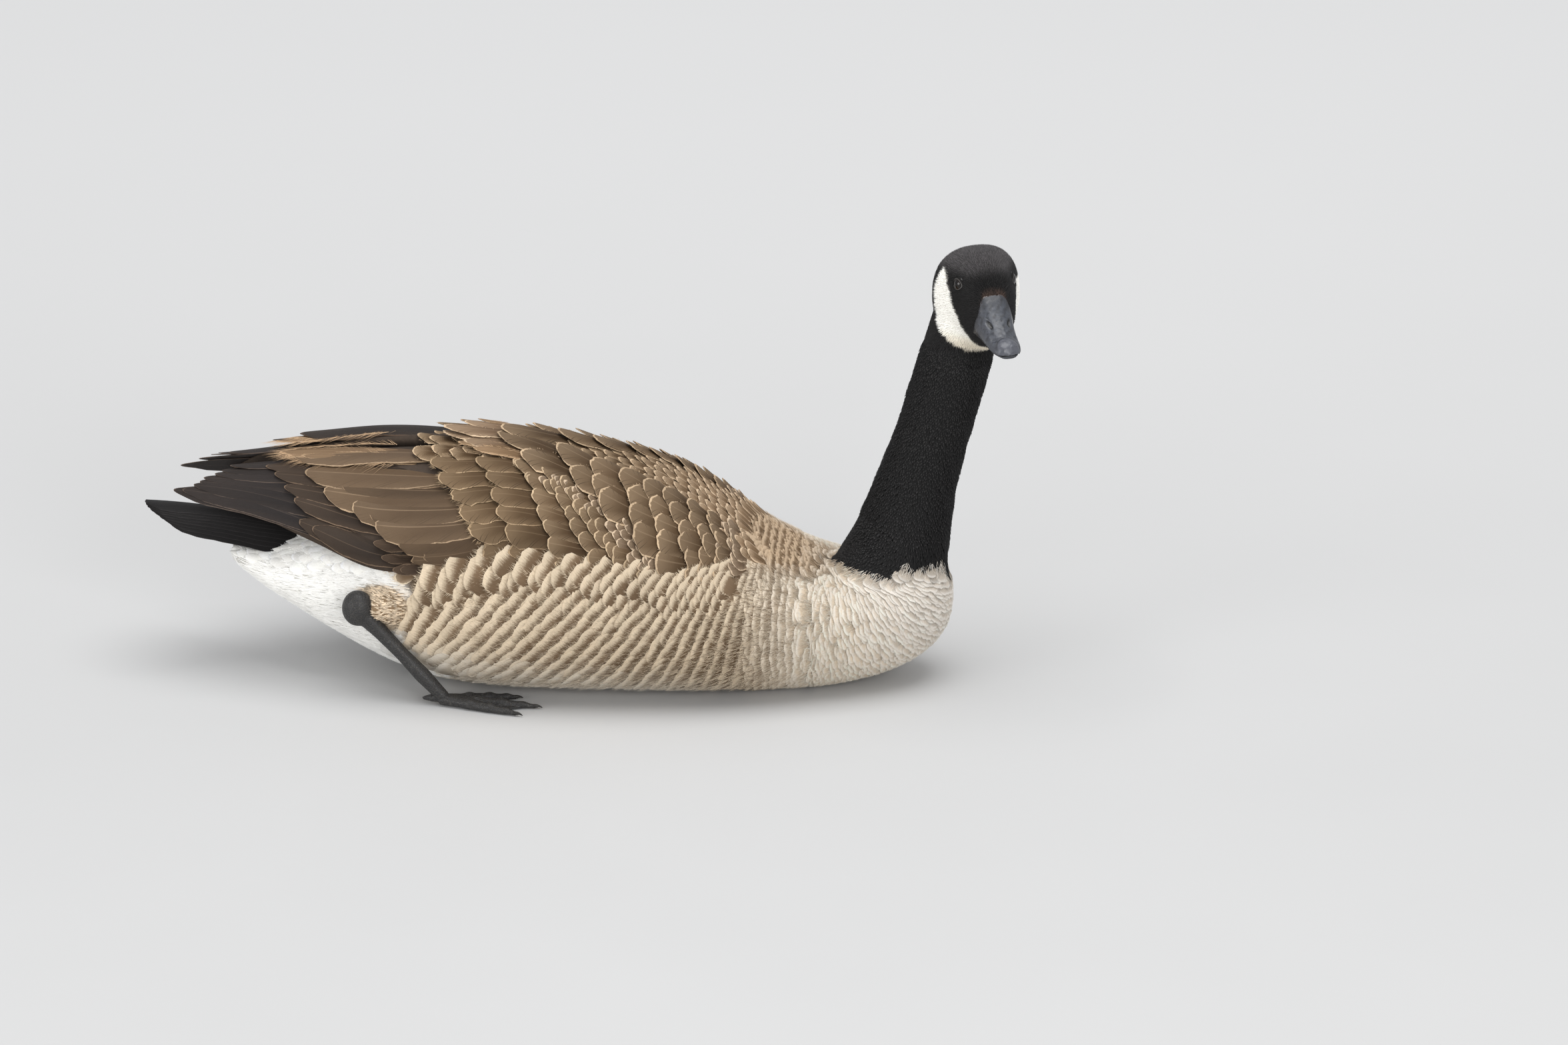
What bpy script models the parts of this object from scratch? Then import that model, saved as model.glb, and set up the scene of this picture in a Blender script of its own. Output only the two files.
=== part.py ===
# Canada goose at life size, resting on its belly with its feet tucked up, its head turned to its right.
# Metres, +Z up, +X towards the breast, the goose's right side at -Y, the floor at Z = 0.
import math
import random

import bmesh
import bpy
import numpy as np
from mathutils import Euler, Matrix, Vector

# Driving dimensions
MAKING_GAP = 0.0004
WING_GAP = 0.0008
BREAST_X = 0.276
BREAST_MIDDLE = 0.066
VANE_THICK = 0.0010
SIDES = {"right": -1, "left": 1}
PLUMAGE_SEED = 7
WELD_DISTANCE = 0.000002
SMOOTH_ANGLE = math.radians(38)

# Body plumage from breast to tail: station x, top, bottom, half-width, height of the widest line
BODY_STATIONS = np.array(
    [
        (0.2750, 0.084, 0.050, 0.013, 0.066),
        (0.2700, 0.093, 0.038, 0.026, 0.066),
        (0.2580, 0.100, 0.024, 0.041, 0.066),
        (0.2350, 0.096, 0.010, 0.056, 0.066),
        (0.2000, 0.090, 0.000, 0.071, 0.066),
        (0.1500, 0.106, -0.005, 0.086, 0.067),
        (0.1050, 0.135, -0.007, 0.096, 0.069),
        (0.0550, 0.153, -0.007, 0.102, 0.072),
        (0.0050, 0.164, -0.007, 0.104, 0.074),
        (-0.0500, 0.168, -0.007, 0.102, 0.075),
        (-0.1000, 0.160, -0.003, 0.093, 0.076),
        (-0.1400, 0.145, 0.008, 0.079, 0.078),
        (-0.1750, 0.128, 0.025, 0.064, 0.081),
        (-0.2100, 0.111, 0.046, 0.050, 0.083),
        (-0.2400, 0.101, 0.066, 0.038, 0.086),
        (-0.2650, 0.099, 0.086, 0.024, 0.093),
    ]
)
# Folded wings: station x, top, half-width, height of the widest line, height of the lower edge
WING_STATIONS = np.array(
    [
        (0.1400, 0.1150, 0.0890, 0.068, 0.112),
        (0.1100, 0.1380, 0.0965, 0.070, 0.108),
        (0.0600, 0.1590, 0.1030, 0.073, 0.109),
        (0.0100, 0.1720, 0.1060, 0.076, 0.117),
        (-0.0500, 0.1820, 0.1050, 0.079, 0.124),
        (-0.1000, 0.1820, 0.0980, 0.082, 0.112),
        (-0.1500, 0.1800, 0.0850, 0.087, 0.107),
        (-0.2000, 0.1720, 0.0680, 0.096, 0.122),
        (-0.2500, 0.1635, 0.0500, 0.110, 0.137),
        (-0.3000, 0.1565, 0.0330, 0.124, 0.142),
        (-0.3300, 0.1500, 0.0220, 0.130, 0.143),
    ]
)
ROUNDING = 2.15
# One wing lies a little lower than the other; the difference grows between these stations
WING_RISE = {"right": -0.0030, "left": 0.0020}
RISE_XS = (-0.02, -0.12)
# The wing's inner edge, in degrees from the back's midline, behind the scapulars and at the shoulder
INNER_REAR = 2.6
INNER_FRONT = 21.0
INNER_XS = (-0.08, 0.10)
# Where the wing starts behind the breast, from its inner edge to its lower one, and how fast it swells
WING_FRONT_XS = (0.1040, 0.1180, 0.1130, 0.0920)
WING_BLEND = 0.040
# The lower edge is tucked into the flank, and comes free of it and of the rump behind these stations
TUCKED_SHARE = 0.84
EDGE_FREE_XS = (-0.10, -0.15)
RUMP_FREE_XS = (-0.16, -0.20)


def spline(stations, column, x):
    # Cubic through the stations, whose x values fall from front to back.
    xs = -stations[:, 0]
    ys = stations[:, column]
    slopes = np.gradient(ys, xs)
    at = float(np.clip(-x, xs[0], xs[-1]))
    i = int(np.clip(np.searchsorted(xs, at) - 1, 0, len(xs) - 2))
    step = xs[i + 1] - xs[i]
    t = (at - xs[i]) / step
    return (
        (2 * t**3 - 3 * t**2 + 1) * ys[i]
        + (t**3 - 2 * t**2 + t) * step * slopes[i]
        + (3 * t**2 - 2 * t**3) * ys[i + 1]
        + (t**3 - t**2) * step * slopes[i + 1]
    )


def ease(low, high, value):
    t = min(1.0, max(0.0, (value - low) / (high - low)))
    return t * t * (3 - 2 * t)


def power(value, exponent):
    return math.copysign(abs(value) ** exponent, value)


def ring_point(x, angle, top, bottom, half_width, middle, rounding=ROUNDING):
    # Angle 0 is the back's midline, 90 degrees the right side, 180 degrees the keel.
    exponent = 2 / rounding
    rise = top - middle if math.cos(angle) > 0 else middle - bottom
    y = -half_width * power(math.sin(angle), exponent)
    z = middle + rise * power(math.cos(angle), exponent)
    return Vector((x, y, z))


def body_point(x, angle):
    # The plumage's surface, flat where it rests on the floor.
    point = ring_point(x, angle, *(spline(BODY_STATIONS, c, x) for c in (1, 2, 3, 4)))
    point.z = max(0.0, point.z)
    return point


def wing_front(share):
    # Where the wing's cover starts behind the breast: share 0 at its inner edge, 1 at its lower edge.
    return float(np.interp(share, np.linspace(0.0, 1.0, len(WING_FRONT_XS)), WING_FRONT_XS))


def wing_point(x, share, lift=0.0, rise=0.0):
    # Outer surface of the right wing, from share 0 at its inner edge to 1 at its lower edge.
    # Its rim is sunk to the body's plumage where the wing is tucked in.
    top, half_width, middle, low = (spline(WING_STATIONS, c, x) for c in (1, 2, 3, 4))
    top += rise * ease(*RISE_XS, x)
    level = min(1.0, max(0.0, (low - middle) / (top - middle)))
    lowest = math.acos(level ** (ROUNDING / 2))
    inner = math.radians(INNER_REAR + (INNER_FRONT - INNER_REAR) * ease(*INNER_XS, x))
    angle = inner + (lowest - inner) * share
    point = ring_point(x, angle, top, 0.0, half_width, middle)
    middle_line = Vector((x, 0.0, spline(BODY_STATIONS, 4, x)))
    reach = point - middle_line
    body_top, body_half = spline(BODY_STATIONS, 1, x), spline(BODY_STATIONS, 3, x)
    level = abs(reach.z / (body_top - middle_line.z)) ** ROUNDING + abs(reach.y / body_half) ** ROUNDING
    on_body = level ** (-1 / ROUNDING)
    front = ease(wing_front(share), wing_front(share) - WING_BLEND, x)
    rim = max(ease(1.0, TUCKED_SHARE, share), ease(*EDGE_FREE_XS, x))
    full = max(front * rim, ease(*RUMP_FREE_XS, x))
    outward = reach.normalized()
    return middle_line + reach * (full + (1 - full) * on_body) + outward * lift


def material(name, colour, roughness, metallic=0.0):
    made = bpy.data.materials.new(name)
    made.use_nodes = True
    shader = made.node_tree.nodes["Principled BSDF"]
    shader.inputs["Base Color"].default_value = (*colour, 1.0)
    shader.inputs["Roughness"].default_value = roughness
    shader.inputs["Metallic"].default_value = metallic
    return made


def add_object(name, points, faces, finish=None):
    mesh = bpy.data.meshes.new(name)
    mesh.from_pydata([tuple(p) for p in points], [], faces)
    tidy = bmesh.new()
    tidy.from_mesh(mesh)
    bmesh.ops.triangulate(tidy, faces=tidy.faces)
    bmesh.ops.recalc_face_normals(tidy, faces=tidy.faces)
    tidy.to_mesh(mesh)
    tidy.free()
    made = bpy.data.objects.new(name, mesh)
    bpy.context.scene.collection.objects.link(made)
    if finish:
        mesh.materials.append(finish)
    return made


def loft(name, rings, finish=None):
    # A closed skin over rings of points, with a flat cap over each end ring.
    around = len(rings[0])
    faces = []
    for r in range(len(rings) - 1):
        for j in range(around):
            a = r * around + j
            b = r * around + (j + 1) % around
            faces += [(a, b, b + around), (a, b + around, a + around)]
    last = (len(rings) - 1) * around
    faces.append(tuple(range(around - 1, -1, -1)))
    faces.append(tuple(range(last, last + around)))
    return add_object(name, [p for ring in rings for p in ring], faces, finish)


def apply_modifiers(made):
    graph = bpy.context.evaluated_depsgraph_get()
    mesh = bpy.data.meshes.new_from_object(made.evaluated_get(graph))
    made.modifiers.clear()
    old = made.data
    made.data = mesh
    bpy.data.meshes.remove(old)
    mesh.name = made.name


def keep_largest_shell(made):
    work = bmesh.new()
    work.from_mesh(made.data)
    bmesh.ops.remove_doubles(work, verts=work.verts, dist=WELD_DISTANCE)
    bmesh.ops.triangulate(work, faces=work.faces)
    left = set(work.faces)
    shells = []
    while left:
        start = left.pop()
        shell, edge = [start], [start]
        while edge:
            face = edge.pop()
            for line in face.edges:
                for near in line.link_faces:
                    if near in left:
                        left.discard(near)
                        shell.append(near)
                        edge.append(near)
        shells.append(shell)
    shells.sort(key=lambda shell: sum(f.calc_area() for f in shell))
    drop = [face for shell in shells[:-1] for face in shell]
    bmesh.ops.delete(work, geom=drop, context="FACES")
    work.to_mesh(made.data)
    work.free()


def fuse(core, pieces):
    # One union of the core with its feathers or toes, which are then removed.
    group = bpy.data.collections.new(core.name + "_pieces")
    bpy.context.scene.collection.children.link(group)
    for piece in pieces:
        bpy.context.scene.collection.objects.unlink(piece)
        group.objects.link(piece)
    join = core.modifiers.new("join", "BOOLEAN")
    join.operation = "UNION"
    join.operand_type = "COLLECTION"
    join.collection = group
    join.solver = "MANIFOLD"
    bpy.context.view_layer.update()
    apply_modifiers(core)
    for piece in list(group.objects):
        bpy.data.objects.remove(piece)
    bpy.data.collections.remove(group)
    keep_largest_shell(core)


def cut_clear(made, *tools):
    for tool in tools:
        cut = made.modifiers.new("cut", "BOOLEAN")
        cut.operation = "DIFFERENCE"
        cut.object = tool
        cut.solver = "MANIFOLD"
        bpy.context.view_layer.update()
        apply_modifiers(made)
    keep_largest_shell(made)


def grown(source, amount=MAKING_GAP):
    # A copy swollen along its normals, as a cutter that leaves the gap between neighbours.
    copy = bpy.data.objects.new(source.name + "_cutter", source.data.copy())
    bpy.context.scene.collection.objects.link(copy)
    copy.matrix_world = source.matrix_world.copy()
    normals = [v.normal.copy() for v in copy.data.vertices]
    for vertex, normal in zip(copy.data.vertices, normals):
        vertex.co += normal * amount
    copy.hide_render = True
    copy.display_type = "WIRE"
    return copy


def remove(*objects):
    for made in objects:
        bpy.data.objects.remove(made)


# Feather blades: share of the full width from root to tip, and how far their edges hang below the shaft
VANE_WIDTHS = ((0.0, 0.55), (0.45, 1.0), (0.84, 0.88), (1.0, 0.34))
VANE_CAMBER = 0.12
SHAFT_ABOVE = 1.0
SHAFT_BELOW = -0.4
PATH_STEP = 0.02


def vane(path, outward, half_width, roll=0.0, thick=VANE_THICK):
    # A closed blade. path and outward give its shaft line and the way it faces, for t from 0 to 1.
    rings = []
    for t, share in VANE_WIDTHS:
        here = path(t)
        ahead = (path(min(1.0, t + PATH_STEP)) - path(max(0.0, t - PATH_STEP))).normalized()
        side = Matrix.Rotation(roll, 3, ahead) @ ahead.cross(outward(t)).normalized()
        up = side.cross(ahead).normalized()
        reach = half_width * share
        edge = -VANE_CAMBER * reach
        section = ((-1, edge + thick / 2), (0, SHAFT_ABOVE * thick), (1, edge + thick / 2))
        section += ((1, edge - thick / 2), (0, SHAFT_BELOW * thick), (-1, edge - thick / 2))
        rings.append([here + side * reach * across + up * height for across, height in section])
    return loft("vane", rings)


# Torso
TORSO_AROUND = 30
TORSO_STEPS = 20
# Extra rings close behind the front one, and the size of the flat on the breast against that ring
BREAST_OFFSETS = (0.0, 0.004, 0.012)
BREAST_FLAT = 0.35


def make_torso(finish):
    front, rear = BODY_STATIONS[0][0], BODY_STATIONS[-1][0]
    xs = [front - offset for offset in BREAST_OFFSETS]
    xs += [front + (rear - front) * i / TORSO_STEPS for i in range(1, TORSO_STEPS + 1)]
    angles = [-math.pi + 2 * math.pi * j / TORSO_AROUND for j in range(TORSO_AROUND)]
    rings = [[body_point(x, angle) for angle in angles] for x in xs]
    middle = Vector((BREAST_X, 0.0, BREAST_MIDDLE))
    breast = [middle + Vector((0.0, p.y, p.z - middle.z)) * BREAST_FLAT for p in rings[0]]
    return loft("torso", [breast] + rings, finish)


# Neck: centre, half-depth and half-width of each ring, leaning forward and a little to the right
NECK_LINE = (
    (Vector((0.2200, 0.0000, 0.060)), 0.046, 0.052),
    (Vector((0.2295, 0.0000, 0.082)), 0.0425, 0.0465),
    (Vector((0.2370, 0.0000, 0.104)), 0.0385, 0.0400),
    (Vector((0.2430, -0.0005, 0.128)), 0.0348, 0.0345),
    (Vector((0.2505, -0.0020, 0.158)), 0.0310, 0.0305),
    (Vector((0.2620, -0.0050, 0.196)), 0.0285, 0.0285),
    (Vector((0.2718, -0.0085, 0.232)), 0.0284, 0.0275),
    (Vector((0.2800, -0.0105, 0.262)), 0.0280, 0.0275),
    (Vector((0.2870, -0.0105, 0.292)), 0.0264, 0.0265),
    (Vector((0.2885, -0.0100, 0.313)), 0.0255, 0.0240),
    (Vector((0.2895, -0.0100, 0.329)), 0.0200, 0.0180),
)
NECK_AROUND = 18


def make_neck(finish):
    rings = []
    for i, (centre, depth, width) in enumerate(NECK_LINE):
        before = NECK_LINE[max(0, i - 1)][0]
        after = NECK_LINE[min(len(NECK_LINE) - 1, i + 1)][0]
        axis = (after - before).normalized()
        side = (Vector((0.0, 1.0, 0.0)) - axis * axis.y).normalized()
        front = side.cross(axis).normalized()
        ring = []
        for j in range(NECK_AROUND):
            angle = 2 * math.pi * j / NECK_AROUND
            ring.append(centre + front * depth * math.cos(angle) + side * width * math.sin(angle))
        rings.append(ring)
    return loft("neck", rings, finish)


# Head, in its own frame: +X towards the bill, +Y its left, +Z up, origin midway between the eyes
HEAD_PLACE = Vector((0.301, -0.028, 0.325))
HEAD_TURN = math.radians(-69.7)
EYE_RADIUS = 0.0070
EYE_CENTRE = Vector((0.0005, 0.0168, -0.0003))
EYE_AXIS = Vector((0.30, 1.0, 0.10)).normalized()
EYE_SEGMENTS = (12, 8)
SOCKET_SEGMENTS = (14, 8)
LID_RADIUS = 0.0050
LID_THICK = 0.0010
LID_SQUASH = 0.9
LID_SEGMENTS = (12, 5)
CROWN_ROUNDING = 2.5
JAW_ROUNDING = 2.0
# Station along the head, top, bottom, half-width, height of the widest line
HEAD_STATIONS = np.array(
    [
        (0.0270, -0.0110, -0.0345, 0.0110, -0.0230),
        (0.0215, -0.0040, -0.0415, 0.0165, -0.0225),
        (0.0155, 0.0085, -0.0465, 0.0192, -0.0210),
        (0.0080, 0.0170, -0.0510, 0.0212, -0.0200),
        (-0.0030, 0.0215, -0.0545, 0.0256, -0.0200),
        (-0.0160, 0.0222, -0.0540, 0.0325, -0.0200),
        (-0.0260, 0.0190, -0.0480, 0.0325, -0.0180),
        (-0.0340, 0.0125, -0.0380, 0.0265, -0.0130),
        (-0.0390, 0.0040, -0.0230, 0.0145, -0.0090),
    ]
)
HEAD_AROUND = 24
HEAD_STEPS = 14
# The back of the head ends in a smaller ring, a little further back
NAPE_STEP = 0.0012
NAPE_HEIGHT = -0.006
NAPE_SHARE = 0.5


def head_point(f, angle):
    rounding = CROWN_ROUNDING if math.cos(angle) > 0 else JAW_ROUNDING
    values = [spline(HEAD_STATIONS, c, f) for c in (1, 2, 3, 4)]
    return ring_point(f, angle, *values, rounding=rounding)


def head_matrix():
    return Matrix.Translation(HEAD_PLACE) @ Matrix.Rotation(HEAD_TURN, 4, "Z")


def make_head(finish):
    front, rear = HEAD_STATIONS[0][0], HEAD_STATIONS[-1][0]
    angles = [-math.pi + 2 * math.pi * j / HEAD_AROUND for j in range(HEAD_AROUND)]
    rings = []
    for i in range(HEAD_STEPS + 1):
        f = front + (rear - front) * i / HEAD_STEPS
        rings.append([head_point(f, angle) for angle in angles])
    middle = Vector((rear - NAPE_STEP, 0.0, NAPE_HEIGHT))
    nape = [middle + Vector((0.0, p.y, p.z - middle.z)) * NAPE_SHARE for p in rings[-1]]
    made = loft("head", rings + [nape], finish)
    made.matrix_world = head_matrix()
    return made


def sided(vector, side):
    return Vector((vector.x, vector.y * side, vector.z))


def ball(name, centre, radius, segments, finish=None):
    work = bmesh.new()
    bmesh.ops.create_uvsphere(work, u_segments=segments[0], v_segments=segments[1], radius=radius)
    bmesh.ops.rotate(work, verts=work.verts, cent=(0, 0, 0), matrix=Matrix.Rotation(math.pi / 2, 3, "X"))
    bmesh.ops.translate(work, verts=work.verts, vec=centre)
    mesh = bpy.data.meshes.new(name)
    work.to_mesh(mesh)
    work.free()
    made = bpy.data.objects.new(name, mesh)
    bpy.context.scene.collection.objects.link(made)
    if finish:
        mesh.materials.append(finish)
    return made


def lid_ring(side):
    # The rim of both lids, a thin ring around the eye where it leaves the head.
    axis = sided(EYE_AXIS, side)
    along = (Vector((1.0, 0.0, 0.0)) - axis * axis.x).normalized()
    upward = axis.cross(along).normalized()
    centre = sided(EYE_CENTRE, side) + axis * math.sqrt(EYE_RADIUS**2 - LID_RADIUS**2)
    segments, sides = LID_SEGMENTS
    points = []
    for i in range(segments):
        turn = 2 * math.pi * i / segments
        out = along * math.cos(turn) + upward * math.sin(turn) * LID_SQUASH
        for j in range(sides):
            roll = 2 * math.pi * j / sides
            reach = LID_RADIUS + LID_THICK * math.cos(roll)
            points.append(centre + out * reach + axis * LID_THICK * math.sin(roll))
    faces = []
    for i in range(segments):
        for j in range(sides):
            a, b = i * sides + j, i * sides + (j + 1) % sides
            c, d = ((i + 1) % segments) * sides + (j + 1) % sides, ((i + 1) % segments) * sides + j
            faces.append((a, b, c, d))
    made = add_object("lid", points, faces)
    made.matrix_world = head_matrix()
    return made


def make_eyes(head, finish):
    fuse(head, [lid_ring(side) for side in SIDES.values()])
    for side_name, side in SIDES.items():
        centre = sided(EYE_CENTRE, side)
        socket = ball("socket", centre, EYE_RADIUS + MAKING_GAP, SOCKET_SEGMENTS)
        socket.matrix_world = head_matrix()
        cut_clear(head, socket)
        remove(socket)
        eye = ball("eye_" + side_name, centre, EYE_RADIUS, EYE_SEGMENTS, finish)
        eye.matrix_world = head_matrix()


# Bill: station along the head's axis, ridge height, height of the mouth line, half-width
BILL_STATIONS = np.array(
    [
        (0.0620, -0.0362, -0.0386, 0.0045),
        (0.0605, -0.0345, -0.0385, 0.0078),
        (0.0570, -0.0318, -0.0378, 0.0102),
        (0.0500, -0.0288, -0.0365, 0.0122),
        (0.0410, -0.0235, -0.0350, 0.0132),
        (0.0320, -0.0155, -0.0338, 0.0138),
        (0.0240, -0.0065, -0.0328, 0.0146),
        (0.0100, 0.0040, -0.0320, 0.0152),
    ]
)
BILL_ROOT = 0.0100
BILL_STEPS = 9
BILL_ARCH = 8
BILL_FLOOR = (0.5, 0.0, -0.5)
RIDGE_POWER = 0.8
SIDE_POWER = 0.9
UPPER_TIP = 0.0620
UPPER_BELOW_MOUTH = 0.0002
LOWER_TIP = 0.0592
LOWER_BELOW_MOUTH = 0.0008
LOWER_INSET = 0.0012
LOWER_LEAST_HALF = 0.0028
LOWER_DEPTH = 0.0062
LOWER_TIP_DEPTH = 0.42
LOWER_TIP_XS = (0.060, 0.040)
LOWER_ROOF = (1.0, 0.5, 0.0, -0.5, -1.0)
LOWER_ANGLES = (-60, -30, 0, 30, 60)
NOSTRIL_PLACE = Vector((0.0375, 0.0108, -0.0262))
NOSTRIL_RADII = (0.0045, 0.0021, 0.0014)
NOSTRIL_TILT = (25, 32, -8)
NOSTRIL_SEGMENTS = (8, 6)


def bill_xs(front):
    steps = [math.sin(math.pi / 2 * i / BILL_STEPS) for i in range(BILL_STEPS + 1)]
    return [BILL_ROOT + (front - BILL_ROOT) * step for step in steps]


def make_upper_bill(finish):
    rings = []
    for f in bill_xs(UPPER_TIP):
        ridge, mouth, width = (spline(BILL_STATIONS, c, f) for c in (1, 2, 3))
        ring = []
        for j in range(BILL_ARCH + 1):
            angle = math.pi * (j / BILL_ARCH - 0.5)
            height = mouth + (ridge - mouth) * math.cos(angle) ** RIDGE_POWER
            ring.append(Vector((f, width * power(math.sin(angle), SIDE_POWER), height)))
        ring += [Vector((f, width * share, mouth - UPPER_BELOW_MOUTH)) for share in BILL_FLOOR]
        rings.append(ring)
    made = loft("bill_upper", rings, finish)
    made.matrix_world = head_matrix()
    return made


def make_lower_bill(finish):
    # The lower half hangs under the mouth line, a little narrower than the upper one.
    rings = []
    for f in bill_xs(LOWER_TIP):
        mouth, width = (spline(BILL_STATIONS, c, f) for c in (2, 3))
        roof = mouth - LOWER_BELOW_MOUTH
        half = max(LOWER_LEAST_HALF, width - LOWER_INSET)
        depth = LOWER_DEPTH * (LOWER_TIP_DEPTH + (1 - LOWER_TIP_DEPTH) * ease(*LOWER_TIP_XS, f))
        ring = [Vector((f, half * share, roof)) for share in LOWER_ROOF]
        for angle in map(math.radians, LOWER_ANGLES):
            ring.append(Vector((f, half * math.sin(angle), roof - depth * math.cos(angle))))
        rings.append(ring)
    made = loft("bill_lower", rings, finish)
    made.matrix_world = head_matrix()
    return made


def cut_nostrils(bill):
    for side in SIDES.values():
        slot = ball("nostril", Vector((0, 0, 0)), 1.0, NOSTRIL_SEGMENTS)
        place = Matrix.Translation(sided(NOSTRIL_PLACE, side))
        roll, pitch, yaw = map(math.radians, NOSTRIL_TILT)
        turn = Euler((roll * side, pitch, yaw * side)).to_matrix().to_4x4()
        slot.data.transform(head_matrix() @ place @ turn @ Matrix.Diagonal((*NOSTRIL_RADII, 1.0)))
        cut_clear(bill, slot)
        remove(slot)


# Wings
WING_STEPS = 12
WING_SHARES = 7
WING_REAR_XS = (-0.225, -0.272)
# The core lies a little under the feathers, thickest over the body
CORE_SINK = 0.0003
WING_THICK_FRONT = 0.0050
WING_THICK_MIDDLE = 0.0100
WING_THICK_REAR = 0.0026
THICKEN_XS = (0.12, 0.0)
THIN_XS = (-0.10, -0.25)


def wing_thick(x):
    over_body = WING_THICK_FRONT + (WING_THICK_MIDDLE - WING_THICK_FRONT) * ease(*THICKEN_XS, x)
    return over_body + (WING_THICK_REAR - over_body) * ease(*THIN_XS, x)


def wing_core(side_name, side, finish):
    rings = []
    for i in range(WING_STEPS + 1):
        along = i / WING_STEPS
        outer, inner = [], []
        for j in range(WING_SHARES + 1):
            share = j / WING_SHARES
            front = wing_front(share)
            rear = WING_REAR_XS[0] + (WING_REAR_XS[1] - WING_REAR_XS[0]) * share
            x = front + (rear - front) * along
            outer.append(wing_point(x, share, -CORE_SINK, WING_RISE[side_name]))
            inner.append(wing_point(x, share, -wing_thick(x), WING_RISE[side_name]))
        rings.append([sided(p, -side) for p in outer + inner[::-1]])
    return loft("wing_" + side_name, rings, finish)


# Tiers of feathers: first and last root and tip as (x, share from the inner to the lower edge), how many,
# half-width, and how far the tips stand off the wing
WING_TIERS = {
    "primary": (((-0.120, 0.30), (-0.105, 0.97)), ((-0.272, 0.12), (-0.312, 0.90)), 5, 0.0085, 0.0008),
    "tertial": (((-0.090, 0.12), (-0.060, 0.90)), ((-0.222, 0.12), (-0.118, 0.90)), 5, 0.0140, 0.0026),
    "greater": (((-0.045, 0.36), (-0.020, 0.92)), ((-0.114, 0.34), (-0.080, 0.92)), 4, 0.0125, 0.0030),
    "median": (((-0.015, 0.40), (0.010, 0.92)), ((-0.076, 0.36), (-0.052, 0.92)), 3, 0.0150, 0.0032),
    "lesser": (((0.025, 0.52), (0.040, 0.92)), ((-0.042, 0.44), (-0.018, 0.92)), 3, 0.0125, 0.0034),
    "long_scapular": (((-0.010, 0.08), (0.005, 0.24)), ((-0.098, 0.10), (-0.060, 0.26)), 2, 0.0125, 0.0040),
    "scapular": (((0.045, 0.10), (0.065, 0.74)), ((-0.030, 0.14), (0.020, 0.80)), 3, 0.0160, 0.0040),
    "upper_scapular": (((0.090, 0.14), (0.098, 0.78)), ((0.035, 0.16), (0.060, 0.82)), 3, 0.0160, 0.0032),
}
# How deep the roots are sunk, how far tips stray along and across the wing, and each feather's roll
ROOT_SINK = 0.0024
TIP_STRAY = (0.003, 0.010)
TIER_STEP = 0.0004
VANE_ROLL = math.radians(4)
SURFACE_STEP = (0.004, 0.06)


def wing_spot(start, end, t):
    return start[0] + (end[0] - start[0]) * t, start[1] + (end[1] - start[1]) * t


def wing_path(start, end, side_name, stand):
    def path(t):
        lift = -ROOT_SINK + (stand + ROOT_SINK) * t
        point = wing_point(*wing_spot(start, end, t), lift, WING_RISE[side_name])
        return sided(point, -SIDES[side_name])

    return path


def wing_outward(start, end, side_name):
    def outward(t):
        x, share = wing_spot(start, end, t)
        rise = WING_RISE[side_name]
        dx, ds = SURFACE_STEP
        along = wing_point(x + dx, share, 0.0, rise) - wing_point(x - dx, share, 0.0, rise)
        across = wing_point(x, share + ds, 0.0, rise) - wing_point(x, share - ds, 0.0, rise)
        return sided(across.cross(along).normalized(), -SIDES[side_name])

    return outward


def between(pair, share):
    return tuple(a + (b - a) * share for a, b in zip(*pair))


def wing_vanes(side_name, side, chooser):
    vanes = []
    for roots, tips, count, half_width, stand in WING_TIERS.values():
        for i in range(count):
            share = i / (count - 1)
            start = between(roots, share)
            end = between(tips, share)
            end = tuple(place + chooser.uniform(-stray, stray) for place, stray in zip(end, TIP_STRAY))
            path = wing_path(start, end, side_name, stand + TIER_STEP * share)
            outward = wing_outward(start, end, side_name)
            vanes.append(vane(path, outward, half_width, roll=side * VANE_ROLL))
    return vanes


# Tail, closed and roof-shaped: middle line, droop of its edges and half-width, from root to tip
TAIL_ROOT_X = -0.206
TAIL_LENGTH = 0.1247
TAIL_ROOT_HEIGHT = 0.1120
TAIL_TIP_HEIGHT = 0.1250
TAIL_DROOP = (0.0235, 0.0070)
TAIL_HALF_WIDTH = (0.0270, 0.0110)
TAIL_ARCH = 1.5
TAIL_CORE_SHARE = 0.52
TAIL_CORE_THICK = (0.0080, 0.0030)
TAIL_CORE_STEPS = 3
TAIL_CORE_AROUND = 12
# Tail feathers: the outer ones are shorter, the middle ones lie on top
TAIL_FEATHERS = 9
RECTRIX_ROOT = 0.04
RECTRIX_HALF_WIDTH = 0.0080
RECTRIX_THICK = 0.0009
RECTRIX_SPREAD = 0.94
RECTRIX_ROLL = math.radians(3)
RECTRIX_STAND = 0.0004
RECTRIX_STACK = 0.0014
OUTER_SHORTER = 0.16
RECTRIX_SLOPE = (1.1, 0.6)


def tail_point(t, across, lift=0.0):
    # across runs from -1 to 1 between the tail's edges.
    half_width = TAIL_HALF_WIDTH[0] + (TAIL_HALF_WIDTH[1] - TAIL_HALF_WIDTH[0]) * t
    droop = TAIL_DROOP[0] + (TAIL_DROOP[1] - TAIL_DROOP[0]) * t
    height = TAIL_ROOT_HEIGHT + (TAIL_TIP_HEIGHT - TAIL_ROOT_HEIGHT) * math.sin(t * math.pi / 2)
    height += lift - droop * abs(across) ** TAIL_ARCH
    return Vector((TAIL_ROOT_X - TAIL_LENGTH * t, across * half_width, height))


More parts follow.
